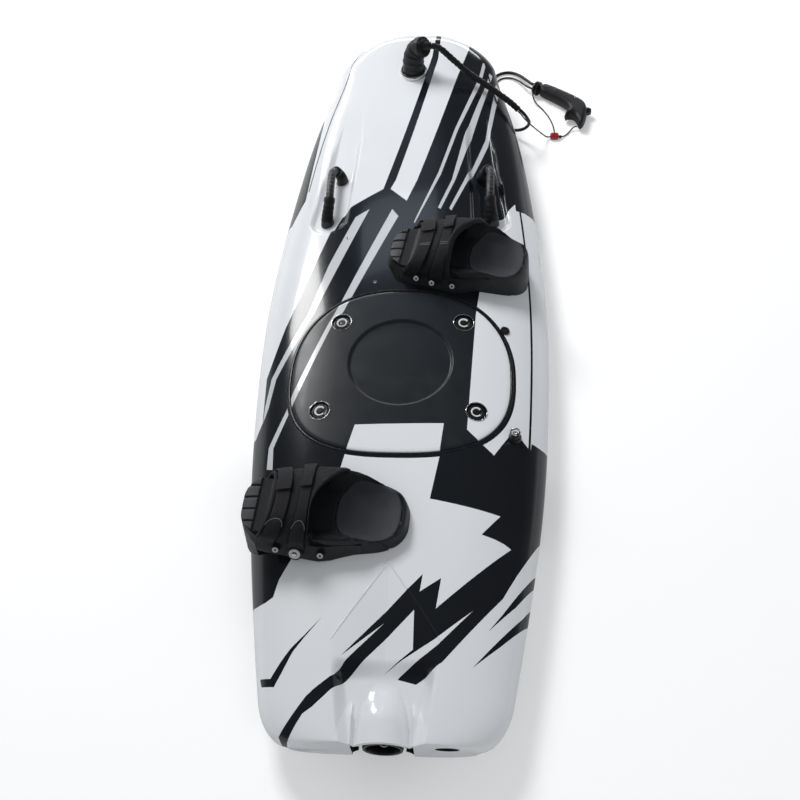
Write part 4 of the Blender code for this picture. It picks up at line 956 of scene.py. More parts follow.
def make_seal():
    rings = []
    for offset, lift in ((0.0012, -0.0105), (0.0012, 0.0002), (0.0018, 0.0008), (0.0035, 0.0010), (0.0052, 0.0008),
                         (0.0058, 0.0002), (0.0059, -0.0105)):
        loop = hatch_outline(offset, 200)
        rings.append([(x, y, float(z) + lift) for (x, y), z in zip(loop, deck_z(loop[:, 0], loop[:, 1]))])
    piece("seal_ring", with_look(loft(rings, "seal_ring", closed=True), plastic), "hatch_seal")


def standing(x, y, data, lift=0.0):
    """Sets a turned body on the deck, square to it."""
    up = field_normals(deck_z, np.array([x]), np.array([y]))[0]
    turn = Vector((0, 0, 1)).rotation_difference(Vector(up)).to_matrix().to_4x4()
    data.transform(Matrix.Translation((x, y, float(deck_z(x, y)) + lift)) @ turn)
    return data


def bar_slot(long, wide, low, high):
    """The slot of a screw head."""
    corners = ((-long, -wide), (long, -wide), (long, wide), (-long, wide))
    return with_look(prism(corners, low, high, "slot"), well_black)


def make_latches():
    """Each fastener: a cup with a bright rim, a black disc, and a ring pull left open on one side, coloured light grey
    as a painted highlight for the steel's glint.
    """
    for number, (x, y) in enumerate(latches, 1):
        whole = number == 1
        cup = turned(((0.0206, 0.0003), (0.0200, 0.0003), (0.0196, -0.0056), (0, -0.0058)), "cup", 64, angle=50)
        rim = tube([(0.0207 * cos(a), 0.0207 * sin(a), 0.0004) for a in np.linspace(0, 2 * pi, 65)], 0.0010, "rim", 8,
                   caps=False)
        disc = turned(((0, -0.0020), (0.0052, -0.0020), (0.0060, -0.0028), (0.0068, -0.0034), (0.0100, -0.0034),
                       (0.0108, -0.0028), (0.0165, -0.0024), (0.0176, -0.0030), (0.0180, -0.0056)), "disc", 56)
        angles = np.linspace(0, 2 * pi, 49) if whole else np.linspace(radians(38), radians(322), 49)
        pull = tube([(0.0092 * cos(a), 0.0092 * sin(a), -0.0016) for a in angles], 0.0021, "pull", 12, flat=0.7)
        boss = turned(((0, -0.0008), (0.0040, -0.0008), (0.0046, -0.0014), (0.0046, -0.0030)), "boss", 32)
        parts = [with_look(cup, plastic), with_look(rim, chrome), with_look(disc, plastic),
                 with_look(pull, ring_painted_glint), with_look(boss, steel if whole else plastic),
                 bar_slot(0.0036, 0.0005, -0.0008, -0.0005)]
        parts = [standing(x, y, part, 0.002) for part in parts]
        piece(f"latch_{number}", parts, f"hatch_latch_{number}", "hatch")


# ---------------------------------------------------------------- foot bindings
foot_long, foot_half, foot_tall = 0.300, 0.078, 0.034
arch_toe, arch_heel, arch_toe_rise, arch_heel_rise = -0.110, 0.050, 0.064, 0.098
strap_runs = {"toe": (-0.104, -0.075), "heel": (-0.048, -0.019)}
arch_power, arch_steps = 2.3, 96
# how much each sole is drawn in at the toe, on its fore and its aft side
toe_cut = {"front": (0.26, 0.10), "rear": (0.09, 0.05)}
# each binding's further turn in degrees, about this place along it, shift forward, and stretch from the heel
fitting = {"front": (-5.5, -0.035, 0.0, 1.02), "rear": (-4.2, 0.120, 0.001, 1.045)}
# each screw's place along the foot, radius and height
screws = {"front": ((-0.071, 0.0052, 0.0265), (-0.038, 0.0054, 0.0240), (0.004, 0.0052, 0.0230)),
          "rear": ((-0.068, 0.0052, 0.0205), (-0.034, 0.0098, 0.0205), (0.010, 0.0052, 0.0235))}
foot_table = ((-1.0, 0.0), (-1.0, 0.38), (-0.93, 0.66), (-0.72, 0.88), (-0.35, 1.0), (0.10, 1.0),
              (0.45, 0.90), (0.76, 0.79), (0.93, 0.56), (1.0, 0.27), (1.0, 0.0))


def arch_rise(u):
    share = min(max((u - arch_toe) / (arch_heel - arch_toe), 0), 1)
    return arch_toe_rise + (arch_heel_rise - arch_toe_rise) * sin(pi / 2 * share)


def leaned(u, w, tall):
    """Places along the foot, drawn towards the heel with the height over the deck."""
    rise = (w - 0.01) / (tall - 0.01)
    return u + (0.030 - 0.028 * ease(-0.10, 0.015, u)) * np.clip(rise, 0, 1) ** 1.5


def arch_half(u):
    return foot_half - 0.012 * float(ease(0, -arch_toe, -u)) ** 2


@cache
def arch_line(u, lift=0.0, steps=arch_steps):
    """Points and outward directions over the foot at u, evenly spaced from the aft foot to the fore one."""
    half, rise = arch_half(u) + lift, arch_rise(u) + lift - foot_tall
    fine = [Vector((-half, foot_tall * i / 12)) for i in range(12)]
    for i in range(121):
        a = pi * (1 - i / 120)
        v = half * abs(cos(a)) ** (2 / arch_power)
        fine.append(Vector((-v if cos(a) < 0 else v, foot_tall + rise * abs(sin(a)) ** (2 / arch_power))))
    fine += [Vector((half, foot_tall - foot_tall * i / 12)) for i in range(1, 13)]
    points = evenly(fine, steps + 1)
    dv, dw = np.gradient(points[:, 0]), np.gradient(points[:, 1])
    size = np.hypot(dv, dw)
    return points, np.stack([-dw / size, dv / size], -1)


def on_arch(u, share, level, tall=None):
    """The point at a share of the way over the arch, a level out from it."""
    points, outs = arch_line(round(u, 6))
    v, w, a, b = (float(np.interp(share * arch_steps, range(arch_steps + 1), line[:, k]))
                  for line in (points, outs) for k in (0, 1))
    return float(leaned(u, w, tall or arch_rise(u))), v + a * level, w + b * level


def arch_patch(us, shares, lift, thick, name):
    """A plate lying on the arch: us across it, shares of the way over it, with its upper edges rounded."""
    rings = []
    for share in shares:
        high = thick(share) if callable(thick) else thick
        rings.append([on_arch(u, share, (lift(u) if callable(lift) else lift) + rise * high) for u, rise in us])
    return loft(rings, name, angle=30)


def strap_profile(start, end, edge=0.0012):
    return [(start, 0), (start, 0.65), (start + edge, 0.95), (start + 3 * edge, 1), (end - 3 * edge, 1),
            (end - edge, 0.95), (end, 0.65), (end, 0)]


def smooth_outline(points, rounds=3):
    for _ in range(rounds):
        cut = []
        for a, b in zip(points, points[1:] + points[:1]):
            cut += [tuple(f * p + (1 - f) * q for p, q in zip(a, b)) for f in (0.75, 0.25)]
        points = cut
    return points


def foot_outline(word, shrink=0.0):
    """The sole's outline: drawn in under the arch, and at the toe, more on its fore side."""
    long, half = foot_long / 2 - shrink, foot_half - shrink
    one = [(x * long, y * half) for x, y in foot_table]
    loop = smooth_outline(one + [(x, -y) for x, y in one[-2:0:-1]])
    fine = [p for a, b in zip(loop, loop[1:] + loop[:1]) for p in divided(a, b, 0.004)]
    out = []
    for u, v in fine:
        inner = arch_half(min(max(u, arch_toe), arch_heel)) - 0.0118
        end = arch_heel if v > 0 else -0.006
        share = ease(arch_toe - 0.0015, arch_toe - 0.0005, u) * (1 - ease(end + 0.0005, end + 0.0015, u))
        limit = inner + (abs(v) - inner) * (1 - share) if abs(v) > inner else abs(v)
        side = limit * (1 if v > 0 else -1)
        tip = float(ease(0.085, 0.150, -u))
        out.append((u + 0.004 * tip, side * (1 - toe_cut[word][int(v < 0)] * tip)))
    return out


def dish_share(u, v):
    """0 in the middle of the heel's dish and 1 at its edge."""
    return (np.abs((u - 0.082) / 0.055) ** 2.6 + np.abs((v + 0.002) / 0.0575) ** 2.6) ** (1 / 2.6)


def sole_z(u, v):
    u, v = np.asarray(u, float), np.asarray(v, float)
    wall = (np.where(v > 0, 0.026, 0.013) * ease(0.112, 0.048, u) * ease(0.040, 0.064, np.abs(v))
            * ease(np.where(v > 0, 0.0, -0.020), np.where(v > 0, 0.020, 0.0), u))
    share = dish_share(u, v)
    dish = 0.0125 * np.clip(1 - share ** 2, 0, 1)
    groove = 0.0030 * np.exp(-((share - 1.02) / 0.024) ** 2)
    rim = 0.0028 * np.exp(-((share - 1.09) / 0.04) ** 2) * ease(0.035, 0.06, u)
    toe = 0.007 * ease(-0.118, -0.150, u)
    step = 0.004 * ease(-0.1145, -0.1125, u) * (1 - ease(-0.095, -0.085, u))
    cut = np.zeros(np.shape(u))
    for i in range(4):
        across = np.clip(1.6 - np.abs(v - 0.024 * (i - 1.5)) / 0.0012, 0, 1)
        cut = np.maximum(cut, 0.0042 * across * ease(-0.1115, -0.1140, u))
    return foot_tall + wall - dish - groove + rim - toe - step - cut


def make_binding(word, x, y, turn):
    """A foot binding: everything is made along the foot, then set on the deck by one matrix."""
    ground = float(deck_z(x, y))
    more, pivot, fore, stretch = fitting[word]
    about, heel = Matrix.Translation((pivot, 0, 0)), Matrix.Translation((foot_long / 2, 0, 0))
    place = (Matrix.Translation((x, y + fore, ground)) @ Matrix.Rotation(turn, 4, "Z") @ about
             @ Matrix.Rotation(radians(more), 4, "Z") @ about.inverted()
             @ heel @ Matrix.Diagonal((stretch, 1, 1, 1)) @ heel.inverted())

    def deck_under(u, v, lift=gap):
        p = place @ Vector((u, v, 0))
        return float(deck_z(p.x, p.y)) - ground + lift

    def put(name, data, part):
        data.transform(place)
        piece(f"{word}_{name}", data, part and f"{word}_{part}")

    put("sole", make_sole(word, deck_under), "binding_sole")
    make_pad(word, place, deck_under)
    put("arch_rims", make_rims(deck_under), None)
    for kind, (start, end) in strap_runs.items():
        put(f"strap_{kind}_sewn", make_strap(word, start, end), f"strap_{kind}")
        if word == "rear":
            put(f"tab_{kind}", make_tab((start + end) / 2), None)
    put("flange", make_flange(word), None)


def make_sole(word, deck_under):
    """The moulded sole, with its side rounded down to the deck."""
    low, high, hollow = (foot_outline(word, shrink) for shrink in (0.0, 0.0075, 0.0090))
    grid = [(u, v) for u in np.arange(-0.143, 0.143, 0.0022) for v in np.arange(-0.071, 0.072, 0.0022)]
    flat, faces = sheet_of([p for p in grid if inside(hollow, *p)], [high], step=0.0045)
    middle = flat[faces].mean(1)
    flat, faces = only(flat, faces, inside(high, middle[:, 0], middle[:, 1]))
    tops = sole_z(flat[:, 0], flat[:, 1])
    verts = [(u, v, w) for (u, v), w in zip(flat, tops)]
    all_faces = [tuple(f) for f in faces]
    loop = boundary_of(faces)[0]
    low_at = {(round(h[0], 6), round(h[1], 6)): l for h, l in zip(high, low)}
    previous = loop
    for out, height in ((0.12, 0.985), (0.30, 0.94), (0.48, 0.86), (0.62, 0.72), (0.80, 0.40), (1.0, 0.0)):
        ring = list(range(len(verts), len(verts) + len(loop)))
        for v in loop:
            hu, hv = flat[v]
            lu, lv = low_at.get((round(hu, 6), round(hv, 6)), (hu * 1.04, hv * 1.06))
            u, w = hu + (lu - hu) * out, hv + (lv - hv) * out
            bottom = deck_under(u, w)
            verts.append((u, w, bottom + (tops[v] - bottom) * height))
        all_faces += between(previous, ring)
        previous = ring
    centres = flat[faces].mean(1)
    toe_or_body = np.where(centres[:, 0] < -0.1135, 2, 0)
    index = np.zeros(len(all_faces), np.int32)
    index[:len(faces)] = np.where(dish_share(centres[:, 0], centres[:, 1]) < 1, 1, toe_or_body)
    data = mesh_of(verts, all_faces, f"{word}_sole", angle=42, indices=index)
    for look in (sole_black, insole, toe_black):
        data.materials.append(look)
    return data


def make_pad(word, place, deck_under):
    """The padded arch: a thinner shell, blown up as cloth, then held in at the straps."""
    rings = []
    for u in np.linspace(arch_toe + 0.004, arch_heel - 0.004, 14):
        outer, inner = (arch_line(u, lift, 40)[0] for lift in (-0.0030, -0.0088))
        rings.append([(u, v, max(w, deck_under(u, v, 0.003))) for v, w in [*outer, *inner[::-1]]])
    pad = link(loft(rings, f"{word}_arch"), f"{word}_arch")
    swell_pad(pad)
    shape_pad(pad)
    pad.data.transform(place)
    pad.data.materials.append(padding)
    attach(pad, "board", [f"{word}_binding_arch"])


def make_rims(deck_under):
    """A rolled rim along the heel edge, and a thinner one at the toe."""
    parts = []
    for u, radius, lift in ((arch_heel - 0.0065, 0.0063, -0.0068), (arch_toe + 0.0045, 0.0040, -0.0048)):
        points, _ = arch_line(u, lift, 72)
        path = [(float(leaned(heel_edge(u, v, w), w, arch_rise(u))), v, max(w, deck_under(u, v, 0.004)))
                for v, w in points]
        parts.append(tube(path, radius, "rim", 14))
    return with_look(joined(parts, "arch_rims"), padding)


def make_strap(word, start, end):
    """A strap, with its free end folded over at the far side under a loop, and stitching on the front binding."""
    strap = arch_patch(strap_profile(start, end), np.linspace(0.058, 0.942, 72), 0.0006, 0.0026, "strap")
    seam = [(start + 0.002, 0.5), (start + 0.002, 1.25), (end - 0.002, 1.25), (end - 0.002, 0.5)]
    stitches = [arch_patch(seam, np.linspace(share, share + 0.0040, 2), 0.0006, 0.0028, "stitch")
                for share in ((0.385, 0.400) if word == "front" else ())]
    fold = arch_patch(strap_profile(start + 0.004, end - 0.004), np.linspace(0.555, 0.610, 6), 0.0028, 0.0034, "fold")
    loop = arch_patch(strap_profile(start - 0.002, end + 0.0005), np.linspace(0.535, 0.625, 10), 0.0056, 0.0024, "loop")
    return joined([with_look(strap, webbing), *(with_look(stitch, thread) for stitch in stitches),
                   with_look(fold, webbing), with_look(loop, webbing)], "strap_sewn")


def make_tab(middle):
    """A tongue over a strap's near end, with a thin light grey arc round its tip, a painted highlight along its edge.
    """
    rings = []
    for share in np.linspace(0.175, 0.315, 22):
        along = (share - 0.175) / 0.14
        half = 0.0150 * (1 if along < 0.55 else sqrt(max(0, 1 - ((along - 0.55) / 0.46) ** 2)))
        rings.append((share, max(half, 0.0008)))
    tongue = tab_on_arch(middle, rings, 0.0031, 0.0026, "tab")
    # a light grey arc along the tip, a painted highlight on the tab's edge
    arc = [on_arch(middle + 0.0146 * cos(a), 0.252 + 0.061 * sin(a), 0.0052, arch_rise(middle))
           for a in np.linspace(radians(10), radians(170), 25)]
    return joined([with_look(tongue, padding), with_look(tube(arc, 0.0009, "arc", 8), thread)], "tab")


def make_flange(word):
    """The lower flange on either side, thicker towards the deck, and its screws on low bosses."""
    def skirt(share):
        return 0.0004 + 0.0125 * float(1 - ease(0.0, 0.122, min(share, 1 - share)))

    def tucked(u):
        return -0.0014 - 0.0085 * float(ease(0.0, 0.072, u)) - 0.020 * float(ease(0.106, 0.132, -u))

    back = [(arch_toe + 0.024, 1), (0.004, 1), (0.024, 0.85), (0.044, 0.5), (0.062, 0.2), (0.078, 0)]
    aft = [(arch_toe - 0.020, 0), (arch_toe - 0.010, 0.45), (arch_toe + 0.004, 0.85), *back]
    fore = [(arch_toe + 0.002, 0), *back]
    parts = [with_look(arch_patch(profile, shares, tucked, skirt, "flange"), sole_black)
             for profile, shares in ((aft, np.linspace(0.002, 0.115, 10)), (fore, np.linspace(0.885, 0.998, 10)))]
    facing = Vector((0, -1, 0.62)).normalized()
    for u, radius, w in screws[word]:
        at = Vector((u, -arch_half(u) - 0.0105, w))
        fixed = [("boss", 28, sole_black, ((0, 0), (radius * 1.22, 0), (radius * 1.35, -0.0012),
                                           (radius * 1.45, -0.0120), (0, -0.0120))),
                 ("screw", 28, screw_metal, ((radius, 0), (radius, 0.0006), (radius * 0.85, 0.0012),
                                             (radius * 0.50, 0.0012), (radius * 0.44, 0.0004))),
                 ("socket", 20, well_black, ((radius * 0.46, 0.0007), (0, 0.0007)))]
        if radius > 0.006:
            fixed.append(("head", 28, chrome, ((0.0034, 0.0006), (0.0034, 0.0022), (0.0020, 0.0026), (0.0016, 0.0014),
                                               (0, 0.0014))))
        parts += [with_look(turned(profile, name, steps, at, facing), look) for name, steps, look, profile in fixed]
    return joined(parts, "flange")


def tab_on_arch(middle, rows, lift, thick, name):
    """A tongue shaped patch on the arch: rows of (share of the way over, half width)."""
    profile = ((-1, 0), (-1, 0.6), (-0.86, 1), (0.86, 1), (1, 0.6), (1, 0))
    rings = [[on_arch(middle + half * across, share, lift + rise * thick) for across, rise in profile]
             for share, half in rows]
    return loft(rings, name, angle=40)


def swell_pad(pad):
    """Fills the pad by cloth pressure, from a slightly smaller shape."""
    change = pad.modifiers.new("remesh", "REMESH")
    change.mode, change.voxel_size = "VOXEL", 0.0042
    rest = np.array([tuple(v.co) for v in evaluated(pad).vertices])
    held = pad.vertex_groups.new(name="held")
    held.add([i for i, p in enumerate(rest) if p[2] < 0.012], 1.0, "REPLACE")
    cloth = pad.modifiers.new("cloth", "CLOTH")
    cloth.settings.use_pressure = True
    cloth.settings.uniform_pressure_force = 4
    cloth.settings.effector_weights.gravity = 0
    cloth.settings.vertex_group_mass = "held"
    cloth.settings.tension_stiffness = cloth.settings.compression_stiffness = 25
    for step in range(1, 21):
        scene.frame_set(step)
    data = evaluated(pad)
    moved = np.array([tuple(v.co) for v in data.vertices]) - rest
    far = np.linalg.norm(moved, axis=1, keepdims=True)
    moved *= np.minimum(1, 0.0024 / np.maximum(far, 1e-9))
    data.vertices.foreach_set("co", (rest + moved).ravel())
    scene.frame_set(1)


def shape_pad(pad):
    """One subdivision, with the fabric drawn in under the straps and standing proud between them."""
    change = pad.modifiers.new("finer", "SUBSURF")
    change.levels = change.render_levels = 1
    data = evaluated(pad)
    points = np.array([tuple(v.co) for v in data.vertices])
    u, v, w = points.T
    under = sum(ease(a - 0.006, a, u) * (1 - ease(b, b + 0.006, u)) for a, b in strap_runs.values())
    wide, tall = np.array([arch_half(a) for a in u]), np.array([arch_rise(a) for a in u])
    rise = tall - foot_tall
    over_sole = w > foot_tall
    share = np.where(over_sole, (np.abs(v / wide) ** arch_power + np.abs((w - foot_tall) / rise) ** arch_power)
                     ** (1 / arch_power), np.abs(v) / wide)
    grow = ease(0.93, 0.97, share) * (1 - np.clip(under, 0, 1)) * 0.0026 * ease(0.018, 0.035, w)
    out = np.stack([np.zeros_like(v), v / wide, np.where(over_sole, (w - foot_tall) / rise, 0)], -1)
    out /= np.maximum(np.linalg.norm(out, axis=1, keepdims=True), 1e-9)
    points += out * grow[:, None]
    skin = share > 0.9
    squeeze = np.minimum(1, np.where(under > 0.5, 0.996, 1.06) / np.maximum(share, 1e-6))
    points[:, 1] = np.where(skin, points[:, 1] * squeeze, points[:, 1])
    risen = skin & (points[:, 2] > foot_tall)
    points[:, 2] = np.where(risen, foot_tall + (points[:, 2] - foot_tall) * squeeze, points[:, 2])
    points[:, 0] = leaned(heel_edge(u, points[:, 1], points[:, 2]), points[:, 2], tall)
    data.vertices.foreach_set("co", points.ravel())
    data.shade_smooth()
    data.update()


def heel_edge(u, v, w):
    """Cuts the collar's edge on a slant, well forward on the aft side."""
    front = -0.002 - 0.011 * ease(0.016, 0.055, w)
    edge = front + (arch_heel - front) * ease(-0.030, 0.085, v)
    return np.where(u > -0.018, -0.018 + (u + 0.018) * (edge + 0.018) / (arch_heel + 0.018), u)


make_lid()
make_seal()
make_latches()
make_binding("front", 0.1135, hatch_y + hatch_fore + 0.010 + foot_half, radians(-4))
make_binding("rear", -0.117, hatch_y - hatch_aft - 0.066 - foot_half, 0.0)


# ---------------------------------------------------------------- carrying grips
def grip_route(side):
    aft_y, fore_y, corner = tail + 1.150, tail + 1.285, 0.030
    aft = Vector((0.185 * side, aft_y, float(deck_z(0.185, aft_y))))
    fore = Vector((0.163 * side, fore_y, float(deck_z(0.163, fore_y))))
    sunk = Vector((0, 0, 0.016))
    out = Vector((0.180 * side, 0, max(aft.z, fore.z) + 0.046))
    return smooth_route((
        aft - sunk, aft + Vector((0, 0, corner / 2)), out + Vector((0, aft.y + corner, -corner / 6)),
        out + Vector((0, (aft.y + fore.y) / 2, 0)), out + Vector((0, fore.y - corner / 2, -corner / 6)),
        (fore + out + Vector((0, fore.y, 0))) / 2 + Vector((0, corner / 6, 0)),
        fore + Vector((0, 0, corner / 3)), fore - sunk), 241)


def wound(points, radius, turns, depth, name, sides=28):
    """A tube whose skin is wound with a flat band, each turn lapping over the last."""
    ahead = [(points[min(i + 1, len(points) - 1)] - points[max(i - 1, 0)]).normalized() for i in range(len(points))]
    out, rings = ahead[0].orthogonal().normalized(), []
    for i, (point, along) in enumerate(zip(points, ahead)):
        out = (out - along * out.dot(along)).normalized()
        other = along.cross(out)
        ring = []
        for k in range(sides):
            lap = (turns * i / (len(points) - 1) + k / sides) % 1
            r = radius - depth * (1 - min(1, lap * 1.25))
            angle = 2 * pi * k / sides
            ring.append(point + r * (cos(angle) * out + sin(angle) * other))
        rings.append(ring)
    return loft(rings, name, angle=40)


def cuff_radius(share, ribbed):
    """A grip boot's radius from its foot to its end, where it closes on the bar."""
    if share > 0.86:
        return 0.0127 if share < 0.97 else 0.0127 - (share - 0.97) * 0.05
    radius = 0.0095 * (1.24 + 0.50 * (1 - share) ** 3)
    if ribbed:
        radius += 0.0007 * max(0, sin(2 * pi * (share * 7.5))) ** 2 * (0.18 < share < 0.80)
    return radius


def make_grips():
    for side, word in ((-1, "left"), (1, "right")):
        path = grip_route(side)
        aft, fore = round(240 * 0.335), round(240 * 0.765)
        bar = wound(path[aft - 4:fore + 5], 0.0093, 9, 0.0009, "bar")
        piece(f"grip_{word}_wound", with_look(bar, grip_skin), f"grip_{word}")
        for points, kind in ((path[8:aft + 1], "aft"), (path[fore:233][::-1], "fore")):
            radii = [cuff_radius(i / (len(points) - 1), kind == "aft") for i in range(len(points))]
            boot = tube(points, radii, f"grip_{word}_{kind}", 28, angle=32)
            piece(f"grip_{word}_cuff_{kind}", with_look(boot, rubber), f"grip_{word}_boot_{kind}")


# ---------------------------------------------------------------- small deck fittings
def make_fittings():
    cap = turned(((0, 0.0030), (0.0040, 0.0030), (0.0048, 0.0036), (0.0072, 0.0038), (0.0092, 0.0030),
                  (0.0099, 0.0016), (0.0100, -0.0030), (0, -0.0030)), "cap", 48)
    data = joined([with_look(cap, plastic), bar_slot(0.0044, 0.0007, 0.0028, 0.00315)], "drain_screw")
    piece("drain_screw", standing(0.209, hatch_y + 0.108, data), "drain_cap")
    x, y = 0.225, hatch_y - 0.143
    ground = float(deck_z(x, y))
    post = turned(((0, 0.0120), (0.0062, 0.0120), (0.0078, 0.0112), (0.0088, 0.0092), (0.0100, 0.0070),
                   (0.0118, 0.0058), (0.0122, 0.0035), (0.0130, 0.0026), (0.0130, -0.0040), (0, -0.0040)), "post", 48,
                  (x, y, ground))
    piece("leash_boss", with_look(post, plastic), "leash_post")
    middle = Vector((x, y, ground + 0.012 + gap + 0.0112))
    ring = tube([middle + 0.009 * Vector((cos(a), 0, sin(a))) for a in np.linspace(0, 2 * pi, 49)], 0.0021, "eye", 14,
                caps=False)
    stem = turned(((0, 0.0035), (0.0030, 0.0035), (0.0040, 0.0020), (0.0040, 0.0004), (0, 0.0004)), "stem", 24,
                  (x, y, ground + 0.0116))
    piece("eye_ring", [with_look(ring, chrome), with_look(stem, chrome)], "leash_eye")
    # the inserts in the deck beside the front binding
    insert = ((0, 0.0003), (0.0022, 0.0003), (0.0030, 0.0006), (0.0038, 0.0005), (0.0040, -0.0010), (0, -0.0010))
    piece("deck_inserts", [with_look(standing(x, y, turned(insert, "dot", 28)), steel)
                           for x, y in ((-0.131, 0.172), (-0.063, 0.0385), (0.075, 0.0))], None)


def make_outlet():
    """The steel ring with its screws at the nose, and the bent rubber boot that stands in it."""
    x, y = -0.009, nose - 0.165
    ground = float(deck_z(x, y))
    ring = turned(((0.0285, -0.0120), (0.0285, 0.0062), (0.0290, 0.0074), (0.0300, 0.0080), (0.0312, 0.0079),
                   (0.0331, 0.0058), (0.0340, 0.0036), (0.0340, -0.0120), (0.0285, -0.0120)), "ring", 96,
                  (x, y, ground))
    head = ((0, 0.0012), (0.0012, 0.0012), (0.0020, 0.0008), (0.0022, -0.0010), (0, -0.0010))
    parts = [with_look(ring, chrome)]
    for a in (radians(-150), radians(-30), radians(90)):
        spot = (x + 0.0318 * cos(a), y + 0.0318 * sin(a), ground + 0.0062)
        parts.append(with_look(turned(head, "screw", 20, spot), steel))
    piece("outlet_trim", parts, "outlet_ring")
    bend = ((0, 0, 0), (0, 0.001, 0.028), (0.0015, 0.004, 0.050), (0.0065, 0.007, 0.066), (0.0150, 0.006, 0.0775),
            (0.0285, -0.0035, 0.0865))
    path = smooth_route([Vector((x + a, y + b, ground - 0.0121 + c)) for a, b, c in bend], 161)
    radii = []
    for share in (i / 160 for i in range(161)):
        fold = 0.0013 * abs(sin(pi * (share - 0.28) / 0.14)) ** 0.6 if 0.28 < share < 0.84 else 0
        radii.append(float(0.0275 * (1 - 0.11 * ease(0.25, 0.95, share)) - fold))
    radii[-3:] = 0.0241, 0.0234, 0.0218
    boot = tube(path, radii, "boot", 48, angle=40)
    lid = turned(((0, 0.0008), (0.0188, 0.0008), (0.0200, 0.0013), (0.0210, 0.0010), (0.0214, -0.0010), (0, -0.0010)),
                 "lid", 56, path[-1], (path[-1] - path[-4]).normalized())
    neck = tube([(0.016, nose - 0.1630, 0.2300), (0.024, nose - 0.1650, 0.2310), (0.032, nose - 0.1650, 0.2320),
                 (0.0380, nose - 0.1646, 0.2326)], (0.0118, 0.0108, 0.0094, 0.0084), "neck", 28)
    piece("outlet_boot", [with_look(boot, rubber), with_look(lid, plastic), with_look(neck, rubber)], "cable_boot")


# ---------------------------------------------------------------- throttle
handle_long, handle_deep = 0.172, 0.066
handle_place = Matrix.Translation((0.314, nose - 0.066, 0.0185)) @ Matrix.Rotation(radians(-35.4), 4, "Z")
handle_shares = ((0.006, -0.273), (0.174, -0.318), (0.430, -0.318), (0.616, -0.303), (0.744, -0.242), (0.831, -0.091),
                 (0.919, 0.242), (0.977, 0.606), (1.0, 0.909), (0.942, 1.0), (0.872, 0.803), (0.791, 0.667),
                 (0.727, 0.697), (0.698, 0.879), (0.651, 0.833), (0.634, 0.455), (0.570, 0.303), (0.326, 0.227),
                 (0.006, 0.212))


def nearest_edge(points, outline):
    """Distances of plan points from the edge of an outline."""
    found = np.full(len(points), 1e9)
    for a, b in zip(outline, np.roll(outline, -1, 0)):
        run = b - a
        t = np.clip(((points - a) @ run) / max(run @ run, 1e-12), 0, 1)
        found = np.minimum(found, np.linalg.norm(points - a - t[:, None] * run, axis=1))
    return found


def pillow(outline, half, edge, name, step=0.0022):
    """A body over an outline, rounded all round its edge, thinner where it is narrow."""
    outline = np.array(outline)
    low, high = outline.min(0), outline.max(0)
    grid = np.array([(x, y) for x in np.arange(low[0], high[0], step) for y in np.arange(low[1], high[1], step)])
    grid = grid[inside(outline, grid[:, 0], grid[:, 1])]
    grid = grid[nearest_edge(grid, outline) > step * 0.5]
    flat, faces = sheet_of(grid, [list(map(tuple, outline))], step=step)
    middle = flat[faces].mean(1)
    flat, faces = only(flat, faces, inside(outline, middle[:, 0], middle[:, 1]))
    away = np.clip(nearest_edge(flat, outline) / edge, 0, 1)
    rise = half * (1 - (1 - away) ** 2.4) ** (1 / 2.4)
    rim = {v for loop in boundary_of(faces) for v in loop}
    rise[list(rim)] = 0
    count = len(flat)
    verts = [(x, y, z) for (x, y), z in zip(flat, rise)] + [(x, y, -z) for (x, y), z in zip(flat, rise)]
    other = [[v if v in rim else v + count for v in reversed(f)] for f in faces.tolist()]
    data = mesh_of(verts, faces.tolist() + other, name)
    mesh = bmesh.new()
    mesh.from_mesh(data)
    bmesh.ops.delete(mesh, geom=[v for v in mesh.verts if not v.link_faces], context="VERTS")
    mesh.to_mesh(data)
    mesh.free()
    return oriented(data, 55)


def make_throttle():
    outline = smooth_outline([(u * handle_long, -v * handle_deep) for u, v in handle_shares], 2)
    parts = [with_look(pillow(outline, 0.0168, 0.0150, "body"), rubber)]
    # ribs moulded round the hand's side, and a screw
    for u in (0.036 + i * 0.0085 for i in range(7)):
        arc = [Vector((u + 0.0015 * cos(a), 0.0030 + 0.0181 * sin(a), 0.0172 * cos(a) * 0.98))
               for a in np.linspace(radians(-8), radians(62), 9)]
        parts.append(with_look(tube(arc, 0.0008, "rib", 8), rubber))
    screw = ((0, 0.0004), (0.0012, 0.0004), (0.0020, 0.0010), (0.0030, 0.0008), (0.0032, -0.0006), (0, -0.0006))
    parts.append(with_look(turned(screw, "screw", 24, (0.106, 0.0075, 0.0166)), steel))
    body = joined(parts, "throttle_body")
    body.transform(handle_place)
    piece("throttle_body", body, "throttle_grip")
    # the collar of two rings where the cables enter
    collar = turned([(0, 0), (0.0160, 0), (0.0172, -0.0004), (0.0183, -0.0015), (0.0184, -0.0040),
                     (0.0172, -0.0052), (0.0152, -0.0056), (0.0150, -0.0072), (0.0166, -0.0078), (0.0176, -0.0088),
                     (0.0177, -0.0118), (0.0166, -0.0138), (0.0140, -0.0149), (0, -0.0149)], "collar", 48)
    collar.transform(handle_place @ Matrix.Rotation(pi / 2, 4, "Y"))
    piece("throttle_ferrule", with_look(collar, plastic), "throttle_collar")
    one, two = [Vector((u * handle_long, -v * handle_deep, 0)) for u, v in handle_shares[5:7]]
    edge = (two - one).normalized()
    button = turned(((0, 0.0102), (0.0050, 0.0106), (0.0074, 0.0102), (0.0084, 0.0090), (0.0088, 0.0060),
                     (0.0098, 0.0052), (0.0104, 0.0040), (0.0104, -0.0030), (0, -0.0030)), "button", 40,
                    (one + two) / 2, (-edge.y, edge.x, 0))
    button.transform(handle_place)
    piece("stop_push", with_look(button, plastic), "stop_button")


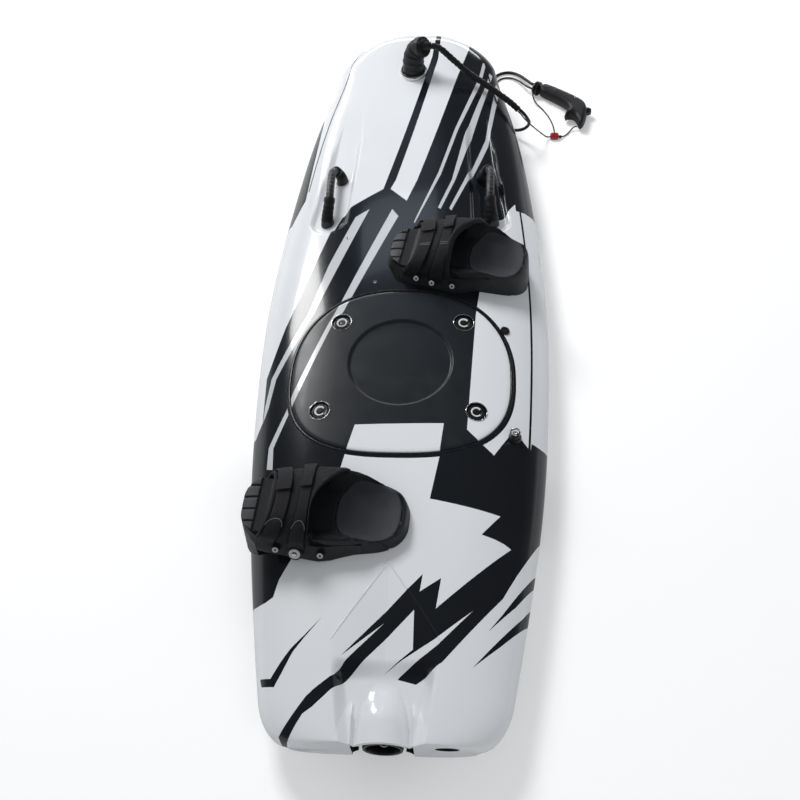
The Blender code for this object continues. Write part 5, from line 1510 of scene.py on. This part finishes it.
def make_clip():
    x, y = 0.348, nose - 0.237
    outline = smooth_outline([(-0.0100, -0.0048), (-0.0072, -0.0075), (0.0072, -0.0075), (0.0100, -0.0048),
                              (0.0100, 0.0048), (0.0072, 0.0075), (-0.0072, 0.0075), (-0.0100, 0.0048)], 2)
    body = pillow(outline, 0.0060, 0.0042, "clip", 0.0009)
    body.transform(Matrix.Translation((x, y, 0.0070)) @ Matrix.Diagonal((1.15, 1.25, 1.1, 1)))
    bar = tube([(x - 0.0085, y, 0.0122), (x - 0.0030, y, 0.0140), (x + 0.0030, y, 0.0140), (x + 0.0085, y, 0.0122)],
               0.0011, "bar", 12)
    knot = turned([(0.0042 * sin(a), 0.0042 * cos(a)) for a in np.linspace(0, pi, 13)], "knot", 24,
                  (x + 0.0148, y - 0.0010, 0.0060), (1, 0.2, 0.1))
    parts = [with_look(body, red_plastic), with_look(bar, red_plastic), with_look(knot, cord_black)]
    piece("stop_tag", parts, "stop_clip")


# ---------------------------------------------------------------- water jet and exhaust
nozzle_from = 0.003
nozzle_run = pump_from - gap - nozzle_from


def along_jet(data, ahead):
    """Lays a turned body on the jet's axis, so far ahead of the tail, in dark metal; on the nozzle this is its steel
    darkened as painted shade, for the shadow inside the opening.
    """
    data.transform(Matrix.Translation((0, tail + ahead, jet_z)) @ Matrix.Rotation(-pi / 2, 4, "X"))
    return with_look(data, dark_metal)


def make_vane(angle):
    """A stator vane from the cone to the nozzle's wall."""
    rings = []
    for (r1, v1), (r2, v2) in (((0.006, 0.45), (0.0345, 0.62)), ((0.006, 0.97), (0.0338, 0.97))):
        rings.append([(r * cos(angle) - t * sin(angle), tail + nozzle_from + nozzle_run * v,
                       jet_z + r * sin(angle) + t * cos(angle))
                      for r, t, v in ((r1, -0.0007, v1), (r2, -0.0007, v2), (r2, 0.0007, v2), (r1, 0.0007, v1))])
    return with_look(loft(rings, "vane", angle=30), dark_metal)


def make_jet():
    outer = [(0.038, 1), (0.038, 0.86), (0.0372, 0.80), (0.0352, 0.60), (0.0340, 0.20), (0.0348, 0.16),
             (0.0348, 0.05), (0.0338, 0)]
    inner = [(0.0296, 0), (0.0290, 0.02), (0.0290, 0.15), (0.0340, 0.8), (0.0340, 1)]
    cone = ((0, 0.30), (0.0030, 0.34), (0.0060, 0.45), (0.0085, 0.70), (0.0092, 0.98), (0, 0.98))
    nozzle = turned([(r, nozzle_run * v) for r, v in [*outer, *inner, outer[0]]], "nozzle", 72)
    cone = turned([(r, nozzle_run * v) for r, v in cone], "cone", 40)
    vanes = [make_vane(2 * pi * turn / 5 + 0.3) for turn in range(5)]
    nozzle, cone = along_jet(nozzle, nozzle_from), along_jet(cone, nozzle_from)
    piece("nozzle_stator", [nozzle, *vanes, cone], "jet_nozzle")
    # dark sheets at the sides of the opening round the nozzle, painted shade that hides the floor seen through it, and
    # the small hook at its top
    shade_sheets = []
    for side in (-1, 1):
        arc = [(side * (0.0512 - 0.0118 * (0.5 - 0.5 * cos(pi * i / 12))), 0.0560 + 0.020 * sin(pi * i / 24))
               for i in range(13)]
        band = arc + [(x, z - 0.0016) for x, z in reversed(arc)]
        rings = [[(x, y, z) for x, z in band] for y in (tail + 0.0012, tail + 0.0622)]
        shade_sheets.append(with_look(loft(rings, "shade_sheets", angle=40), well_black))
    hook = tube([(0.0105, tail + 0.0060, 0.1020), (0.0090, tail + 0.0024, 0.1010), (0.0040, tail + 0.0012, 0.0990),
                 (-0.0010, tail + 0.0024, 0.1010), (-0.0030, tail + 0.0060, 0.1040)], 0.0009, "hook", 10)
    piece("notch_shade_and_hook", [*shade_sheets, with_look(hook, chrome)], None)
    long = duct_end - pump_from
    pump = turned([(0.0380, long), (0.0380, long - 0.006), (0.0372, long - 0.0066), (0.0372, 0.0066), (0.0380, 0.006),
                   (0.0380, 0), (0.0340, 0), (0.0340, long), (0.0380, long)], "pump", 72)
    piece("pump_tube", along_jet(pump, pump_from), "pump_housing")


def make_exhaust():
    sizes = ((0.0197, 0.0597), (0.0197, 0.0008), (0.0190, 0.0003), (0.0185, 0.0010), (0.0185, 0.0560))
    rings = [[(exhaust_x + half * cos(a), tail + ahead, exhaust_z + (half - 0.0110) * sin(a))
              for a in np.linspace(0, 2 * pi, 49)[:-1]] for half, ahead in sizes]
    piece("exhaust_lining", with_look(loft(rings, "exhaust", angle=35), rubber), "exhaust_outlet")


make_grips()
make_fittings()
make_outlet()
make_throttle()
make_clip()
make_jet()
make_exhaust()


# ---------------------------------------------------------------- looks of the pieces carried over
slots = {"board_white": pearl, "hatch_black": satin_black, "rubber": rubber, "steel": steel, "dark_metal": dark_metal,
         "plastic": plastic, "sole": sole_black, "padding": padding, "webbing": webbing, "chrome": chrome,
         "red_plastic": red_plastic, "cord": cord_black}
words = {part["node"]: part["material_slot"] for part in frame["record"]["subparts"]}
for name, thing in frame["nodes"].items():
    for place in thing.material_slots:
        place.material = slots[words[name]]
